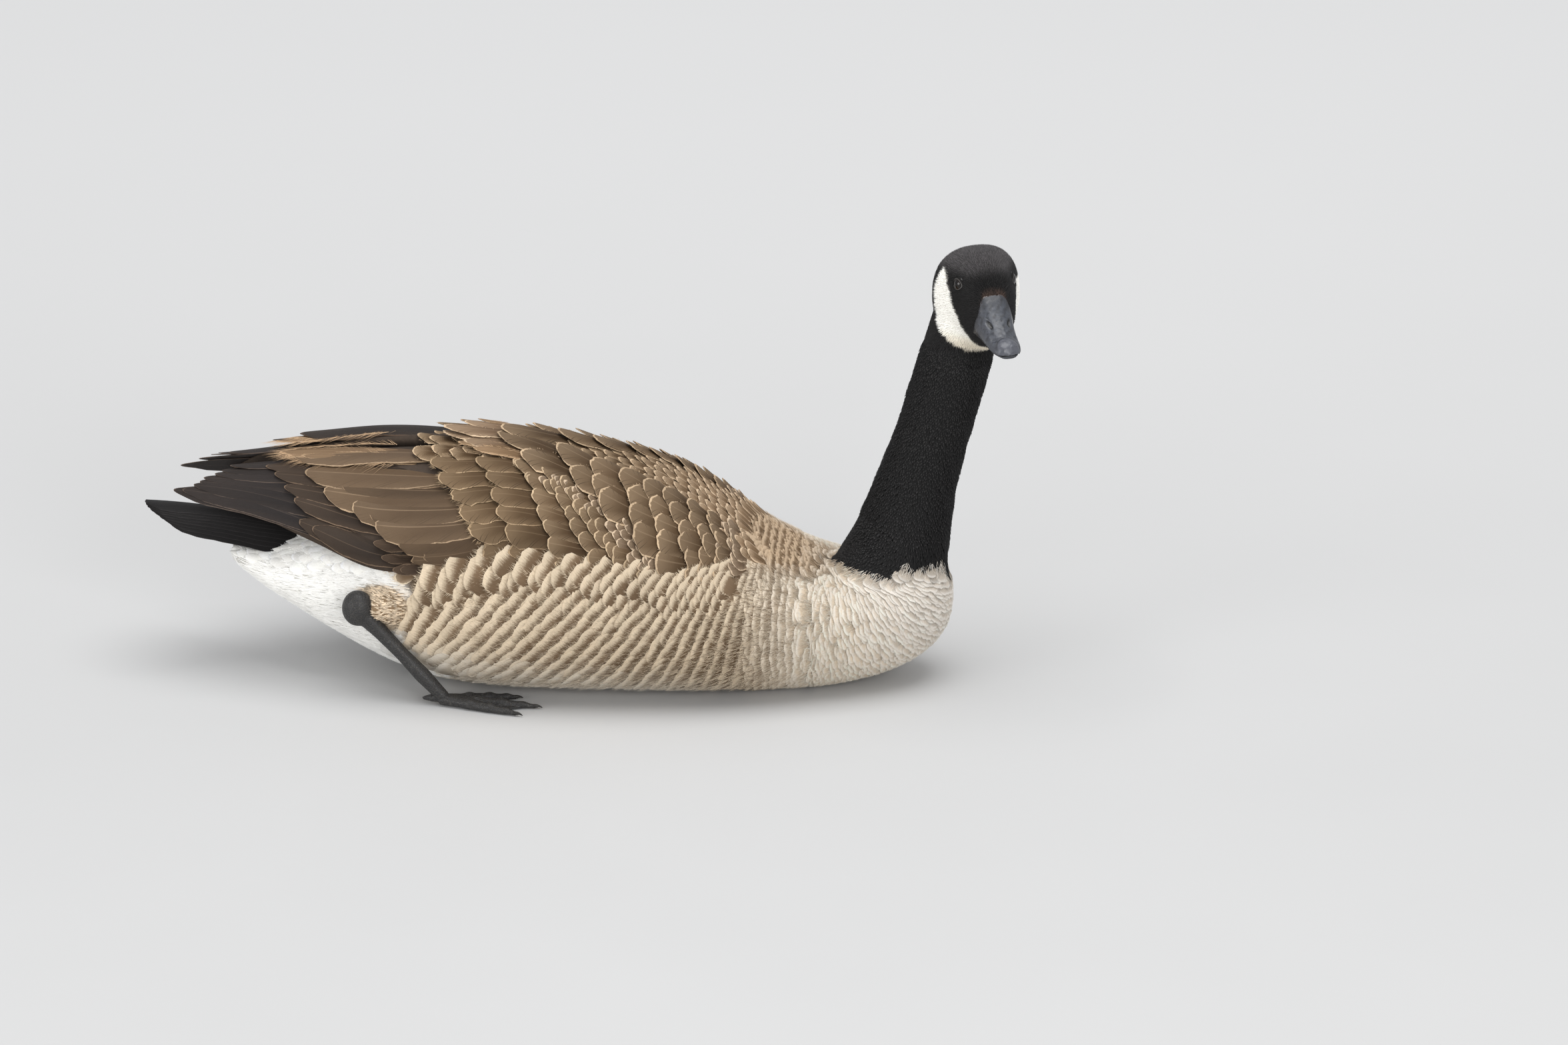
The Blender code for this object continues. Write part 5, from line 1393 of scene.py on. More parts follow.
def makeBodyCoat():
    level = lambda s: 0.0
    for sideName, side in rightAndLeft.items():
        coat = newCoat()
        phis = (0.80, 2.35) if side < 0 else (-2.35, -0.80)
        gapAt = lambda s: float(np.interp(s, (-0.11, -0.04, 0.04, 0.12, 0.17), (0.0150, 0.0138, 0.0118, 0.0088, 0.0066)))
        leanAt = lambda s: float(np.interp(s, (-0.10, -0.03, 0.02, 0.07, 0.11, 0.16), (0.030, 0.080, 0.098, 0.082, 0.045, 0.0)))
        bodyRows(coat, "band", 0.150, -0.098, phis, gapAt, leanAt, apart=0.64, long=2.5, half=0.98, stray=0.05,
                 high=0.0031, curl=0.0006, side=0.01, tip=0.31, barbs=46, barbLong=0.30, camber=0.05,
                 uneven=0.03, climbs=True, roll=0.03, front=0.50)
        reach = lambda s, angle: (s > -0.09) & (s < 0.16) & (side * angle < -0.95) & (side * angle > -2.3)
        looseBarbs(coat, 12500, reach, 0.0080, 0.0018, 0.0044)
        dress("flank_" + sideName, coat, flankFinish, [])
    breastGap = lambda s: float(np.interp(s, (0.14, 0.18, 0.25), (0.0072, 0.0054, 0.0044)))
    for sideName, side in rightAndLeft.items():
        coat = newCoat()
        phis = (0.0, math.pi) if side < 0 else (-math.pi, 0.0)
        bodyRows(coat, "rib", 0.2500, 0.142, phis, breastGap, level, apart=0.90, half=1.15, long=2.7, stray=0.08,
                 high=0.0018, curl=0.0005, camber=0.03, barbs=12, barbLong=0.46, side=0.01, tip=0.28, roll=0.03)
        reach = lambda s, angle: (s > 0.135) & (s < 0.252) & (side * angle < -0.05) & (side * angle > -2.9)
        looseBarbs(coat, 15000, reach, 0.0048, 0.0008, 0.0026)
        reach = lambda s, angle: (s > 0.158) & (s < 0.192) & (side * angle < -0.8) & (side * angle > -2.6)
        looseBarbs(coat, 3500, reach, 0.0060, 0.0010, 0.0032)
        dress("breast_" + sideName, coat, flankFinish, [])
    coat = newCoat()
    bodyRows(coat, "scale", 0.168, 0.095, (-1.0, 1.0), lambda s: 0.0062, level, high=0.0018, curl=0.0004, tip=0.16)
    dress("nape", coat, bodyFinish, [])
    coat = newCoat()
    bodyRows(coat, "scale", 0.180, -0.100, (2.20, 4.08), lambda s: 0.0095, level, high=0.0010, curl=0.0)
    dress("belly", coat, bodyFinish, [])
    coat = newCoat()
    bodyRows(coat, "scale", -0.092, -0.250, (-1.3, 1.3), lambda s: 0.0090, level, high=0.0016, curl=0.0004)
    # soft white down behind the flanks, and speckled tan down on the shanks
    s, phi = placesOnSkin(34000, lambda points: (points[..., 0] < -0.092) & (points[..., 2] > 0.003))
    points = sample(birdMap, s, phi)[0]
    base, rim = markings(points, s, phi)
    onShank = shankDistance(points) < 0.003
    downy = ((rim[:, 2] > 0.60) & (np.abs(phi) > 0.4)) | onShank
    s, phi, points, base, rim, onShank = (v[downy] for v in (s, phi, points, base, rim, onShank))
    count = len(s)
    long = dice.uniform(0.006, 0.012, count) * np.where(onShank, 0.45, 1.0)
    end = (s - long, phi + dice.normal(0, 0.12, count) * long / 0.05)
    speckle = np.where(onShank, dice.choice((0.65, 1.0, 1.35), count), 1.0)[:, None] * variation(count, 0.02)
    lay(coat, birdMap, "sliver", (s, phi), end, dice.uniform(0.0004, 0.0008, count), -0.0002,
        dice.uniform(0.0008, 0.0018, count), base * speckle, rim * speckle, thick=0.00025, camber=0.0)
    dress("vent", coat, downFinish, [])


makeBodyCoat()

# Neck and head: short tufts, smallest on the face
def plant(coat, kind, places, ahead, length, half, low, high, tint, rim, radius=0.03, thick=0.0002, camber=0.1, curl=0.0):
    # small tufts, each laid in the plane that touches the skin at its root and bent to the skin's radius
    template = templates[kind]
    s, phi = places
    points, facing = sample(birdMap, s, phi)
    ahead = unit(ahead - facing * dot(ahead, facing)[:, None])
    side = np.cross(ahead, facing)
    count = len(s)
    full = lambda value: np.broadcast_to(np.asarray(value, float), (count,))[:, None]
    length, half, low, high, curl, radius = (full(v) for v in (length, half, low, high, curl, radius))
    u, v, top = template["across"][None, :], template["along"][None, :], template["top"][None, :]
    lift = low + (high - low) * v**0.8 + curl * v**3 - camber * half * u * u + top * thick
    lift = lift - (v * length) ** 2 / (2 * radius)
    made = points[:, None] + ahead[:, None] * (v * length)[..., None] + side[:, None] * (u * half)[..., None]
    made = made + facing[:, None] * lift[..., None]
    addFeathers(coat, template, made, tint, rim, (0.30, 0.35), bakePlaces(birdMap, template, s, phi, None))


bill = {
    # f along the head's axis, ridge height, mouth height, half-width
    "stations": np.array([
        (0.0625, -0.0378, -0.0390, 0.0010), (0.0616, -0.0352, -0.0388, 0.0046),
        (0.0602, -0.0330, -0.0385, 0.0072), (0.0577, -0.0310, -0.0380, 0.0093),
        (0.0528, -0.0290, -0.0372, 0.0110), (0.0460, -0.0262, -0.0360, 0.0118),
        (0.0380, -0.0215, -0.0347, 0.0124), (0.0310, -0.0145, -0.0338, 0.0128),
        (0.0240, -0.0065, -0.0328, 0.0133), (0.0100, 0.0040, -0.0320, 0.0140),
    ]),
    "root": 0.0100,
    "nostril": (0.0355, 0.0098, -0.0222),
    "nail": (0.0580, 0.0078, 0.0082),        # middle, half-length, half-width
    "lowerDepth": 0.0062,
}
eye = {"radius": 0.0070, "centre": np.array((0.0005, 0.0168, -0.0003)), "axis": np.array((0.30, 1.0, 0.10)),
       "opening": 0.0047}
eye["axis"] = eye["axis"] / np.linalg.norm(eye["axis"])


def insideBill(place):
    ridge, half = cubic(bill["stations"], 1, place[..., 0]), cubic(bill["stations"], 3, place[..., 0])
    below = place[..., 2] < ridge * 0.5 + cubic(bill["stations"], 2, place[..., 0]) * 0.5
    width = np.where(below, half, half * np.sqrt(np.clip((ridge - place[..., 2]) / 0.012, 0, 1)))
    return (place[..., 0] > 0.0185) & (np.abs(place[..., 1]) < width) & (place[..., 2] < ridge) & (place[..., 2] > -0.041)


def nearEye(points):
    place = worldToHead(points)
    away = 1.0
    for side in rightAndLeft.values():
        centre = sided(eye["centre"] + eye["axis"] * 0.0050, side)
        away = np.minimum(away, np.linalg.norm(place - centre, axis=-1))
    return away


def headFlow(points):
    # which way feathers lie on head and neck
    place = worldToHead(points)
    down = 0.15 + 1.3 * ease(-0.016, -0.036, place[..., 0]) + 1.6 * ease(-0.030, -0.052, place[..., 2])
    back = 1.0 - 0.85 * ease(-0.036, -0.060, place[..., 2])
    return -headForward * back[..., None] - upward * down[..., None]


def makeHeadCoat():
    lowest = 0.262
    wanted = lambda points: (points[..., 2] > lowest) & ~insideBill(worldToHead(points))
    s, phi = placesOnSkin(150000, wanted)
    points, facing = sample(birdMap, s, phi)
    place = worldToHead(points)
    fine = 0.00060 + 0.00020 * ease(0.006, -0.020, place[..., 0]) + 0.0005 * ease(-0.045, -0.060, place[..., 2])
    kept = sparse(points, fine)
    s, phi, points, facing, place, fine = (v[kept] for v in (s, phi, points, facing, place, fine))
    ahead = headFlow(points)
    ahead = unit(ahead) + dice.normal(0, 0.13, points.shape)
    flat = unit(ahead - facing * dot(ahead, facing)[:, None])
    length = (0.0009 + fine * 2.0) * dice.uniform(0.75, 1.25, len(s))
    tips = points + flat * (length * 0.8)[:, None]
    clear = (nearEye(points) > eye["opening"] + 0.0006) & (nearEye(tips) > eye["opening"] + 0.0002)
    s, phi, points, ahead, fine, length = (v[clear] for v in (s, phi, points, ahead, fine, length))
    base, rim = markings(points, s, phi)
    count = len(s)
    coat = newCoat()
    spread = np.where(base[:, 0] > 0.3, 0.05, 0.35)[:, None]
    shade = 1 + spread * dice.uniform(-1, 1, (count, 1))
    plant(coat, "sliver", (s, phi), ahead, length, fine * 0.50, -0.0002, 0.0004 + fine * 0.30, base * shade,
          mix(base, rim, np.full(count, 0.6)) * shade, radius=0.026, thick=0.00022, camber=0.0,
          curl=dice.uniform(0, 0.0003, count))
    dress("headCoat", coat, faceFinish, [])


def makeNeckCoat():
    coat = newCoat()
    s, index = 0.4180, 0
    while s > 0.186:
        gap = float(np.interp(s, (0.22, 0.30, 0.42), (0.0024, 0.0021, 0.0018)))
        radius = np.linalg.norm(tangents(birdMap, np.array([s]), np.array([1.5]))[1])
        count = int(2 * math.pi * radius / (gap * 0.86))
        phi = (np.arange(count) + 0.5 * (index % 2)) * 2 * math.pi / count - math.pi
        phi = phi + dice.uniform(-0.25, 0.25, count) * gap / radius
        a = s + dice.uniform(-0.4, 0.4, count) * gap
        points = sample(birdMap, a, phi)[0]
        black = (neckShare(points, a, phi) > 0.5) & (points[:, 2] < 0.272)
        a, phi, points = a[black], phi[black], points[black]
        if len(a):
            # the tufts' paler rims are painted highlights on the black neck
            base, rim = np.tile(tones["neck"], (len(a), 1)), np.tile(tones["neckRim"], (len(a), 1))
            ruffle = 0.5 + 0.5 * ripple(points * (1, 1, 0.35), 0.010, 12)
            long = gap * dice.uniform(2.2, 3.0, len(a))
            sideways = dice.uniform(-0.20, 0.20, len(a)) * gap / radius
            lay(coat, birdMap, "kite", (a, phi), (a - long, phi + sideways), gap * 0.66, -0.0004,
                0.0008 + 0.0011 * ruffle, base * variation(len(a), 0.25), rim * variation(len(a), 0.25),
                thick=0.0003, camber=0.12, curl=dice.uniform(0, 0.0004, len(a)), rimWidth=(0.0004, 0.0009))
        s -= gap
        index += 1
    dress("neckCoat", coat, faceFinish, [])


faceFinish = featherMaterial("shortTuft", barbs=6, barbDepth=0.05, shaft=0.0, paintedRootShade=0.45, soft=0.2,
                             roughness=0.65, sheen=0.0, specular=0.16, mottle=0.05, bumpDepth=0.0001)
makeNeckCoat()
makeHeadCoat()


def tintedMaterial(name, scale, roughness, specular, depth, dark=0.7, pale=1.25):
    # colour from the mesh, mottled and bumped at one scale
    made, tree, shader = newMaterial(name, roughness, 0.0, specular)
    tint = node(tree, "ShaderNodeAttribute", attribute_name="tint").outputs["Color"]
    place = node(tree, "ShaderNodeTexCoord").outputs["Object"]
    cloud = node(tree, "ShaderNodeTexNoise", in_2=scale, in_3=4.0)
    link(tree, place, cloud.inputs[0])
    lighter = blend2(tree, 1.0, tint, (pale,) * 3, "MULTIPLY")
    darker = blend2(tree, 1.0, tint, (dark,) * 3, "MULTIPLY")
    link(tree, blend2(tree, cloud.outputs[0], darker, lighter), shader.inputs["Base Color"])
    bump = node(tree, "ShaderNodeBump", in_0=0.5, in_1=depth)
    link(tree, cloud.outputs[0], bump.inputs["Height"])
    link(tree, bump.outputs[0], shader.inputs["Normal"])
    return made


# Bill
def billMaterial():
    made, tree, shader = newMaterial("horn", 0.38, 0.0, 0.5)
    tint = node(tree, "ShaderNodeAttribute", attribute_name="tint").outputs["Color"]
    place = node(tree, "ShaderNodeTexCoord").outputs["Object"]
    cloud = node(tree, "ShaderNodeTexNoise", in_2=420.0, in_3=4.0)
    link(tree, place, cloud.inputs[0])
    pale = blend2(tree, 1.0, tint, (1.35, 1.38, 1.45), "MULTIPLY")
    dark = blend2(tree, 1.0, tint, (0.72, 0.72, 0.74), "MULTIPLY")
    link(tree, blend2(tree, cloud.outputs[0], dark, pale), shader.inputs["Base Color"])
    rough = node(tree, "ShaderNodeMapRange")
    link(tree, cloud.outputs[0], rough.inputs[0])
    rough.inputs[1].default_value = 0.35
    rough.inputs[2].default_value = 0.65
    rough.inputs[3].default_value = 0.26
    rough.inputs[4].default_value = 0.46
    link(tree, rough.outputs[0], shader.inputs["Roughness"])
    pits = node(tree, "ShaderNodeTexNoise", in_2=1500.0, in_3=2.0)
    link(tree, place, pits.inputs[0])
    bump = node(tree, "ShaderNodeBump", in_0=0.25, in_1=0.0002)
    link(tree, pits.outputs[0], bump.inputs["Height"])
    link(tree, bump.outputs[0], shader.inputs["Normal"])
    return made


def colourPoints(mesh, colours):
    colours = np.hstack([colours, np.ones((len(colours), 1))])
    layer = mesh.color_attributes.new("tint", "FLOAT_COLOR", "POINT")
    layer.data.foreach_set("color", colours.astype(np.float32).ravel())


# the darkest bill tones serve real dark blotches and painted shade: in the groove round the nail, in the nostrils and
# along the mouth
billTones = {"side": np.array((0.046, 0.048, 0.055)), "ridge": np.array((0.045, 0.049, 0.057)),
             "nail": np.array((0.070, 0.072, 0.082)), "slitShade": np.array((0.005, 0.005, 0.005)),
             "base": np.array((0.42, 0.34, 0.30)), "stainAndShade": np.array((0.020, 0.020, 0.022))}


def upperBill(finish):
    stations = bill["stations"]
    rows, around = 110, 84
    f = bill["root"] + (stations[0, 0] - bill["root"]) * np.sin(np.linspace(0, math.pi / 2, rows))[:, None]
    q = np.linspace(-1, 1, around)[None, :]
    ridge, mouth, half = (cubic(stations, c, f) for c in (1, 2, 3))
    half = np.maximum(half, 0.0006)
    angle = q * math.pi / 2
    square = ease(0.044, 0.020, f)       # the root is squarer than the tip
    side = half * signedPower(np.sin(angle), 0.90 - 0.33 * square)
    rise = np.cos(angle) ** (0.86 - 0.37 * square)
    # shallow hollows run beside the ridge, and a waist lies behind the nail
    low = np.exp(-((np.abs(q) - 0.45) / 0.20) ** 2) * ease(0.056, 0.046, f) * ease(0.018, 0.028, f)
    waist = np.exp(-((f - 0.0475) / 0.0040) ** 2) * ease(0.95, 0.5, np.abs(q))
    height = mouth + (ridge - mouth) * rise - 0.0010 * low - 0.0009 * waist
    # the cutting edge flares a little, most at the corners of the mouth
    flare = 0.0003 + 0.0013 * ease(0.036, 0.020, f)
    side = side + np.sign(q) * flare * ease(0.72, 0.98, np.abs(q)) * ease(0.061, 0.050, f)
    middle, long, wide = bill["nail"]
    fromNail = np.sqrt(((f - middle) / long) ** 2 + (side / wide) ** 2)
    height = height + 0.0012 * np.sqrt(np.clip(1 - fromNail**2, 0, 1)) - 0.0003 * np.exp(-((fromNail - 1.08) / 0.10) ** 2)
    points = np.stack(np.broadcast_arrays(f, side, height), -1)
    # fine wrinkles and low bumps
    points[..., 2] += 0.00016 * ripple(points, 0.0045, 61) + 0.00006 * ripple(points, 0.0016, 62)
    # nostril: a long slit sunk into each hollow
    nostril = bill["nostril"]
    slant = (points[..., 0] - nostril[0]) * 0.82 - (points[..., 2] - nostril[2]) * 0.57
    lift = (points[..., 0] - nostril[0]) * 0.57 + (points[..., 2] - nostril[2]) * 0.82
    fromSlit = np.sqrt((slant / 0.0042) ** 2 + (lift / 0.00095) ** 2)
    sunk = ease(1.25, 0.4, fromSlit)
    raised = 0.00012 * np.exp(-((fromSlit - 1.9) / 0.5) ** 2)
    points[..., 1] -= np.sign(points[..., 1]) * (0.0018 * sunk - raised)
    points[..., 2] -= 0.0008 * sunk
    edge = np.stack(np.broadcast_arrays(f, half * 0.80 * np.array((1.0, 0.4, -0.4, -1.0)), mouth + 0.0008), -1)
    rings = [headToWorld(np.vstack([ring, under])) for ring, under in zip(points, edge)]
    made = loftTogether("billUpper", [rings])
    patches = ease(0.0, 0.6, ripple(points, 0.005, 63) + 0.5 * ripple(points, 0.0018, 66)) * ease(0.054, 0.042, f)
    tint = billTones["side"] * (1 + 0.12 * ripple(points, 0.009, 64))[..., None]
    tint = mix(tint, billTones["ridge"], ease(0.80, 0.15, np.abs(q)) * ease(0.060, 0.035, f))
    tint = mix(tint, billTones["stainAndShade"], 0.62 * patches)
    glints = ease(0.55, 0.9, ripple(points, 0.0022, 67)) * (1 - patches)
    tint = mix(tint, billTones["ridge"] * 1.9, 0.45 * glints)
    # darker in a band towards the base of the bill
    tint = mix(tint, billTones["stainAndShade"], 0.60 * ease(0.0300, 0.0235, f + 0.0012 * ripple(points, 0.005, 65)) + 0 * q)
    tint = mix(tint, billTones["nail"], ease(1.1, 0.9, fromNail))
    # painted shade in the groove round the nail
    tint = mix(tint, billTones["stainAndShade"], 0.6 * np.exp(-((fromNail - 1.10) / 0.10) ** 2) * ease(0.066, 0.058, f + 0.004))
    # painted shade: the nostril slit is painted near black
    tint = mix(tint, billTones["slitShade"], ease(1.10, 0.75, fromSlit))
    tint = mix(tint, billTones["base"], ease(0.0219, 0.0214, f + 0.0005 * ripple(points, 0.0022, 31)) * ease(0.52, 0.44, np.abs(q)))
    # painted shade: the upper bill's under edge along the mouth is near black
    under = np.broadcast_to(billTones["slitShade"], edge.shape)
    colourPoints(made.data, np.concatenate([tint, under], axis=1).reshape(-1, 3))
    made.data.materials.append(finish)
    return made


def lowerBill(finish):
    stations = bill["stations"]
    rings, tints = [], []
    for f in bill["root"] + (0.0600 - bill["root"]) * np.sin(np.linspace(0, math.pi / 2, 70)):
        mouth, half = cubic(stations, 2, f), cubic(stations, 3, f)
        half = max(0.0028, half - 0.0012)
        depth = bill["lowerDepth"] * (0.42 + 0.58 * ease(0.060, 0.040, f))
        turn = np.linspace(-math.pi / 2, math.pi / 2, 40)
        rim = mouth - 0.0004
        # two branches with a groove of skin between them
        groove = 0.0010 * np.exp(-(np.sin(turn) / 0.22) ** 2) * ease(0.056, 0.045, f)
        outer = np.stack((f + 0 * turn, half * signedPower(np.sin(turn), 0.8), rim - depth * np.cos(turn) ** 0.9 + groove), -1)
        inner = np.stack((f + np.zeros(6), half * np.linspace(0.86, -0.86, 6), np.full(6, rim - 0.0003)), -1)
        rings.append(headToWorld(np.vstack([outer, inner])))
        # painted shade: the inside of the lower bill is near black
        tints.append(np.vstack([np.tile(billTones["side"] * 0.85, (40, 1)), np.tile(billTones["slitShade"], (6, 1))]))
    made = loftTogether("billLower", [rings])
    colourPoints(made.data, np.vstack(tints))
    made.data.materials.append(finish)
    return made


def makeBill():
    finish = billMaterial()
    for made, nodeName in ((upperBill(finish), "bill_upper"), (lowerBill(finish), "bill_lower")):
        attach(made, "root")
        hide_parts(nodeName)


makeBill()


# Eyes: a dark brown iris around a pupil under a clear wet surface, with a thin lid ring
def eyeMaterial():
    made, tree, shader = newMaterial("eye", 0.08, 0.0, 0.32, 0.10)
    tint = node(tree, "ShaderNodeAttribute", attribute_name="tint").outputs["Color"]
    place = node(tree, "ShaderNodeTexCoord").outputs["Object"]
    cloud = node(tree, "ShaderNodeTexNoise", in_2=1800.0, in_3=2.0)
    link(tree, place, cloud.inputs[0])
    darker = blend2(tree, 1.0, tint, (0.4, 0.4, 0.4), "MULTIPLY")
    link(tree, blend2(tree, cloud.outputs[0], tint, darker), shader.inputs["Base Color"])
    shader.inputs["Coat Roughness"].default_value = 0.08
    return made


def makeEyes():
    finish = eyeMaterial()
    lidFinish = tintedMaterial("lid", 900.0, 0.75, 0.12, 0.0002)
    for sideName, side in rightAndLeft.items():
        centre, axis = sided(eye["centre"], side), sided(eye["axis"], side)
        along = unit(np.array((1.0, 0.0, 0.0)) - axis * axis[0])
        upper = np.cross(axis, along) * (1 if side > 0 else -1)
        upper = upper * np.sign(upper[2])
        turns = np.linspace(0, 2 * math.pi, 48, endpoint=False)[:, None]
        out = along * np.cos(turns) + upper * np.sin(turns)
        rings, tints = [], []
        for polar in np.linspace(0.02, 1.9, 32):
            bulge = 1.0 + 0.035 * math.exp(-((polar / 0.55) ** 2))
            ring = centre + (axis * math.cos(polar) + out * math.sin(polar)) * eye["radius"] * 0.985 * bulge
            rings.append(headToWorld(ring))
            tone = np.array((0.003, 0.002, 0.002)) if polar < 0.36 else np.array((0.009, 0.0055, 0.004))
            tone = tone if polar < 0.68 else np.array((0.004, 0.003, 0.003))
            tints.append(np.tile(tone, (48, 1)))
        made = loftTogether("eye_" + sideName, [rings])
        colourPoints(made.data, np.vstack(tints))
        made.data.materials.append(finish)
        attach(made, "root")
        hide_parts("eye_" + sideName)
        lidRings, lidTints = [], []
        # the lids run from the opening, round their rim, and down under the feathers
        profile = ((0.93, -0.00020), (0.94, 0.00014), (0.98, 0.00034), (1.06, 0.00034), (1.18, 0.00005),
                   (1.40, -0.00040), (1.75, -0.00130), (2.10, -0.00300))
        for wide, rise in profile:
            ring = []
            for turn in np.linspace(0, 2 * math.pi, 64, endpoint=False):
                corner = 1 + 0.12 * abs(math.cos(turn)) ** 7      # drawn out to the front and back corners
                reach = (along * math.cos(turn) * 0.00475 * corner + upper * math.sin(turn) * 0.00415) * wide
                distance = min(np.linalg.norm(reach), 0.0066)
                seat = math.sqrt(eye["radius"] ** 2 - distance**2)
                wrinkle = 0.00008 * math.sin(turn * 17) if wide > 1.1 else 0.0
                ring.append(centre + axis * (seat + rise + wrinkle) + reach)
            lidRings.append(headToWorld(np.array(ring)))
            pale = math.exp(-((wide - 0.98) / 0.05) ** 2)
            lidTints.append(np.tile(np.array((0.007, 0.0065, 0.006)) * (1 - pale) + np.array((0.120, 0.112, 0.108)) * pale, (64, 1)))
        faces = []
        for r in range(len(lidRings) - 1):
            for j in range(64):
                k = (j + 1) % 64
                faces.append((r * 64 + j, r * 64 + k, (r + 1) * 64 + k, (r + 1) * 64 + j))
        lid = meshObject("lids_" + sideName, [p for ring in lidRings for p in ring], faces)
        colourPoints(lid.data, np.vstack(lidTints))
        lid.data.materials.append(lidFinish)
        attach(lid, "root")


makeEyes()

# Legs: scaly tarsi and webbed feet with claws
leg = {
    "hock": np.array((-0.1640, 0.0785, 0.0745)),
    "hockRadii": np.array((0.0120, 0.0105, 0.0138)),
    "heel": np.array((-0.1060, 0.0835, 0.0125)),
    "tarsusRadii": (0.0085, 0.0060, 0.0052, 0.0061, 0.0048),
    "toeLengths": (0.060, 0.074, 0.064),
    "toeTurns": (-15.0, 3.0, 19.0),
    "toeRadii": (0.0052, 0.0043, 0.0044, 0.0034, 0.0014),
}


def ballRings(centre, radii, around=28):
    turn = np.linspace(0, 2 * math.pi, around, endpoint=False)
    rings = []
    for polar in np.linspace(0.05, math.pi - 0.05, 20):
        flat = np.stack((np.cos(turn) * math.sin(polar), np.sin(turn) * math.sin(polar), 0 * turn + math.cos(polar)), -1)
        rings.append(centre + flat * radii)
    return rings


def toePath(pad, tip, knuckles):
    # a toe bends a little down to each joint; radii swell at the knuckles
    t = np.linspace(0, 1, 40)
    path = pad + (tip - pad) * t[:, None]
    radii = np.interp(t, np.linspace(0, 1, 5), leg["toeRadii"])
    swell = sum(np.exp(-((t - k) / 0.045) ** 2) for k in knuckles)
    path[:, 2] = np.maximum(path[:, 2], radii * 0.75) + 0.0006 * swell
    return path, radii * (0.86 + 0.16 * swell)


def makeLeg(sideName, finish, clawFinish):
    side = rightAndLeft[sideName]
    hock, heel = sided(leg["hock"], side), sided(leg["heel"], side)
    pad = heel + np.array((0.004, 0.0, 0.0052 - heel[2]))
    t = np.linspace(0, 1, 24)
    # the tarsus runs on into the pad of the foot
    ankle = pad + np.array((0.003, 0.0, 0.0006))
    tarsus = tubeRings(hock + (ankle - hock) * t[:, None], np.interp(t, np.linspace(0, 1, 5), leg["tarsusRadii"]), 20)
    lofts = [ballRings(hock, leg["hockRadii"]), tarsus]
    made = meltTogether(loftTogether("tarsus", lofts), 0.0011, 4)
    made.name = "lowerLeg_" + sideName
    claws, lofts, tips = [], [], []
    for length, turn in zip(leg["toeLengths"], leg["toeTurns"]):
        angle = math.radians(turn * side)
        ahead = np.array((math.cos(angle), math.sin(angle), 0.0))
        tip = pad + ahead * length + np.array((0.0, 0.0, -0.0030))
        path, radii = toePath(pad, tip, (0.36, 0.62, 0.84))
        lofts.append(tubeRings(path, radii, 16))
        tips.append(pad + (tip - pad) * 0.88)
        reach = np.linspace(0, 1, 10)[:, None]
        hook = tip - ahead * 0.004 + ahead * 0.0065 * reach + upward * (0.0006 * np.sin(reach * 3.1) - 0.0008 * reach**2)
        hook[:, 2] = np.maximum(hook[:, 2], 0.0012)
        claws.append(tubeRings(hook, np.linspace(0.0017, 0.0003, 10), 12))
    web, across = [], np.linspace(0, 1, 14)
    for j in range(2):
        for f in np.linspace(0.05, 1.0, 26):
            left, right = pad + (tips[j] - pad) * f, pad + (tips[j + 1] - pad) * f
            ring = left + (right - left) * across[:, None]
            bow = np.sin(across * math.pi)[:, None]
            ring = ring - np.array((0.007 * f**3, 0, 0)) * bow
            fold = 0.0003 * np.sin(across * 19 + f * 9)[:, None] * bow
            height = 0.0021 - 0.0004 * bow + fold
            low, high = ring.copy(), ring.copy()
            low[:, 2:], high[:, 2:] = height - 0.0009, height + 0.0009
            web.append(np.vstack([high, low[::-1]]))
    lofts += [web[:26], web[26:]]
    hindPath = pad + np.array((0, 0, 0.001)) + np.linspace(0, 1, 12)[:, None] * sided((-0.014, -0.003, -0.0015), side)
    lofts.append(tubeRings(hindPath, np.interp(np.linspace(0, 1, 12), (0, 0.5, 1), (0.0035, 0.0030, 0.0012)), 14))
    foot = meltTogether(loftTogether("foot", lofts), 0.0009, 3)
    foot.name = "foot_" + sideName + "_skin"
    for piece, nodeName in ((made, "tarsus_" + sideName), (foot, "foot_" + sideName)):
        points = np.array([v.co for v in piece.data.vertices])
        points[:, 2] = np.maximum(points[:, 2], 0.0002)
        piece.data.vertices.foreach_set("co", points.astype(np.float32).ravel())
        piece.data.shade_smooth()
        piece.data.materials.append(finish)
        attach(piece, "root")
        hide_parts(nodeName)
    claw = loftTogether("claws_" + sideName, claws)
    claw.data.materials.append(clawFinish)
    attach(claw, "root")
    print(f"leg {sideName}:", len(made.data.polygons) + len(foot.data.polygons), "faces")


def scaleMaterial():
    # net of small scales with pale joints between them
    made, tree, shader = newMaterial("scales", 0.45, 0.0, 0.45)
    place = node(tree, "ShaderNodeTexCoord").outputs["Object"]
    cells = node(tree, "ShaderNodeTexVoronoi", feature="DISTANCE_TO_EDGE", in_2=620.0)
    link(tree, place, cells.inputs[0])
    joint = node(tree, "ShaderNodeMapRange", interpolation_type="SMOOTHSTEP")
    link(tree, cells.outputs[0], joint.inputs[0])
    joint.inputs[1].default_value = 0.02
    joint.inputs[2].default_value = 0.16
    cloud = node(tree, "ShaderNodeTexNoise", in_2=160.0, in_3=3.0)
    link(tree, place, cloud.inputs[0])
    scaly = blend2(tree, cloud.outputs[0], (0.010, 0.010, 0.011), (0.030, 0.029, 0.029))
    link(tree, blend2(tree, joint.outputs[0], (0.045, 0.042, 0.038), scaly), shader.inputs["Base Color"])
    bump = node(tree, "ShaderNodeBump", in_0=0.8, in_1=0.0005)
    link(tree, joint.outputs[0], bump.inputs["Height"])
    link(tree, bump.outputs[0], shader.inputs["Normal"])
    return made


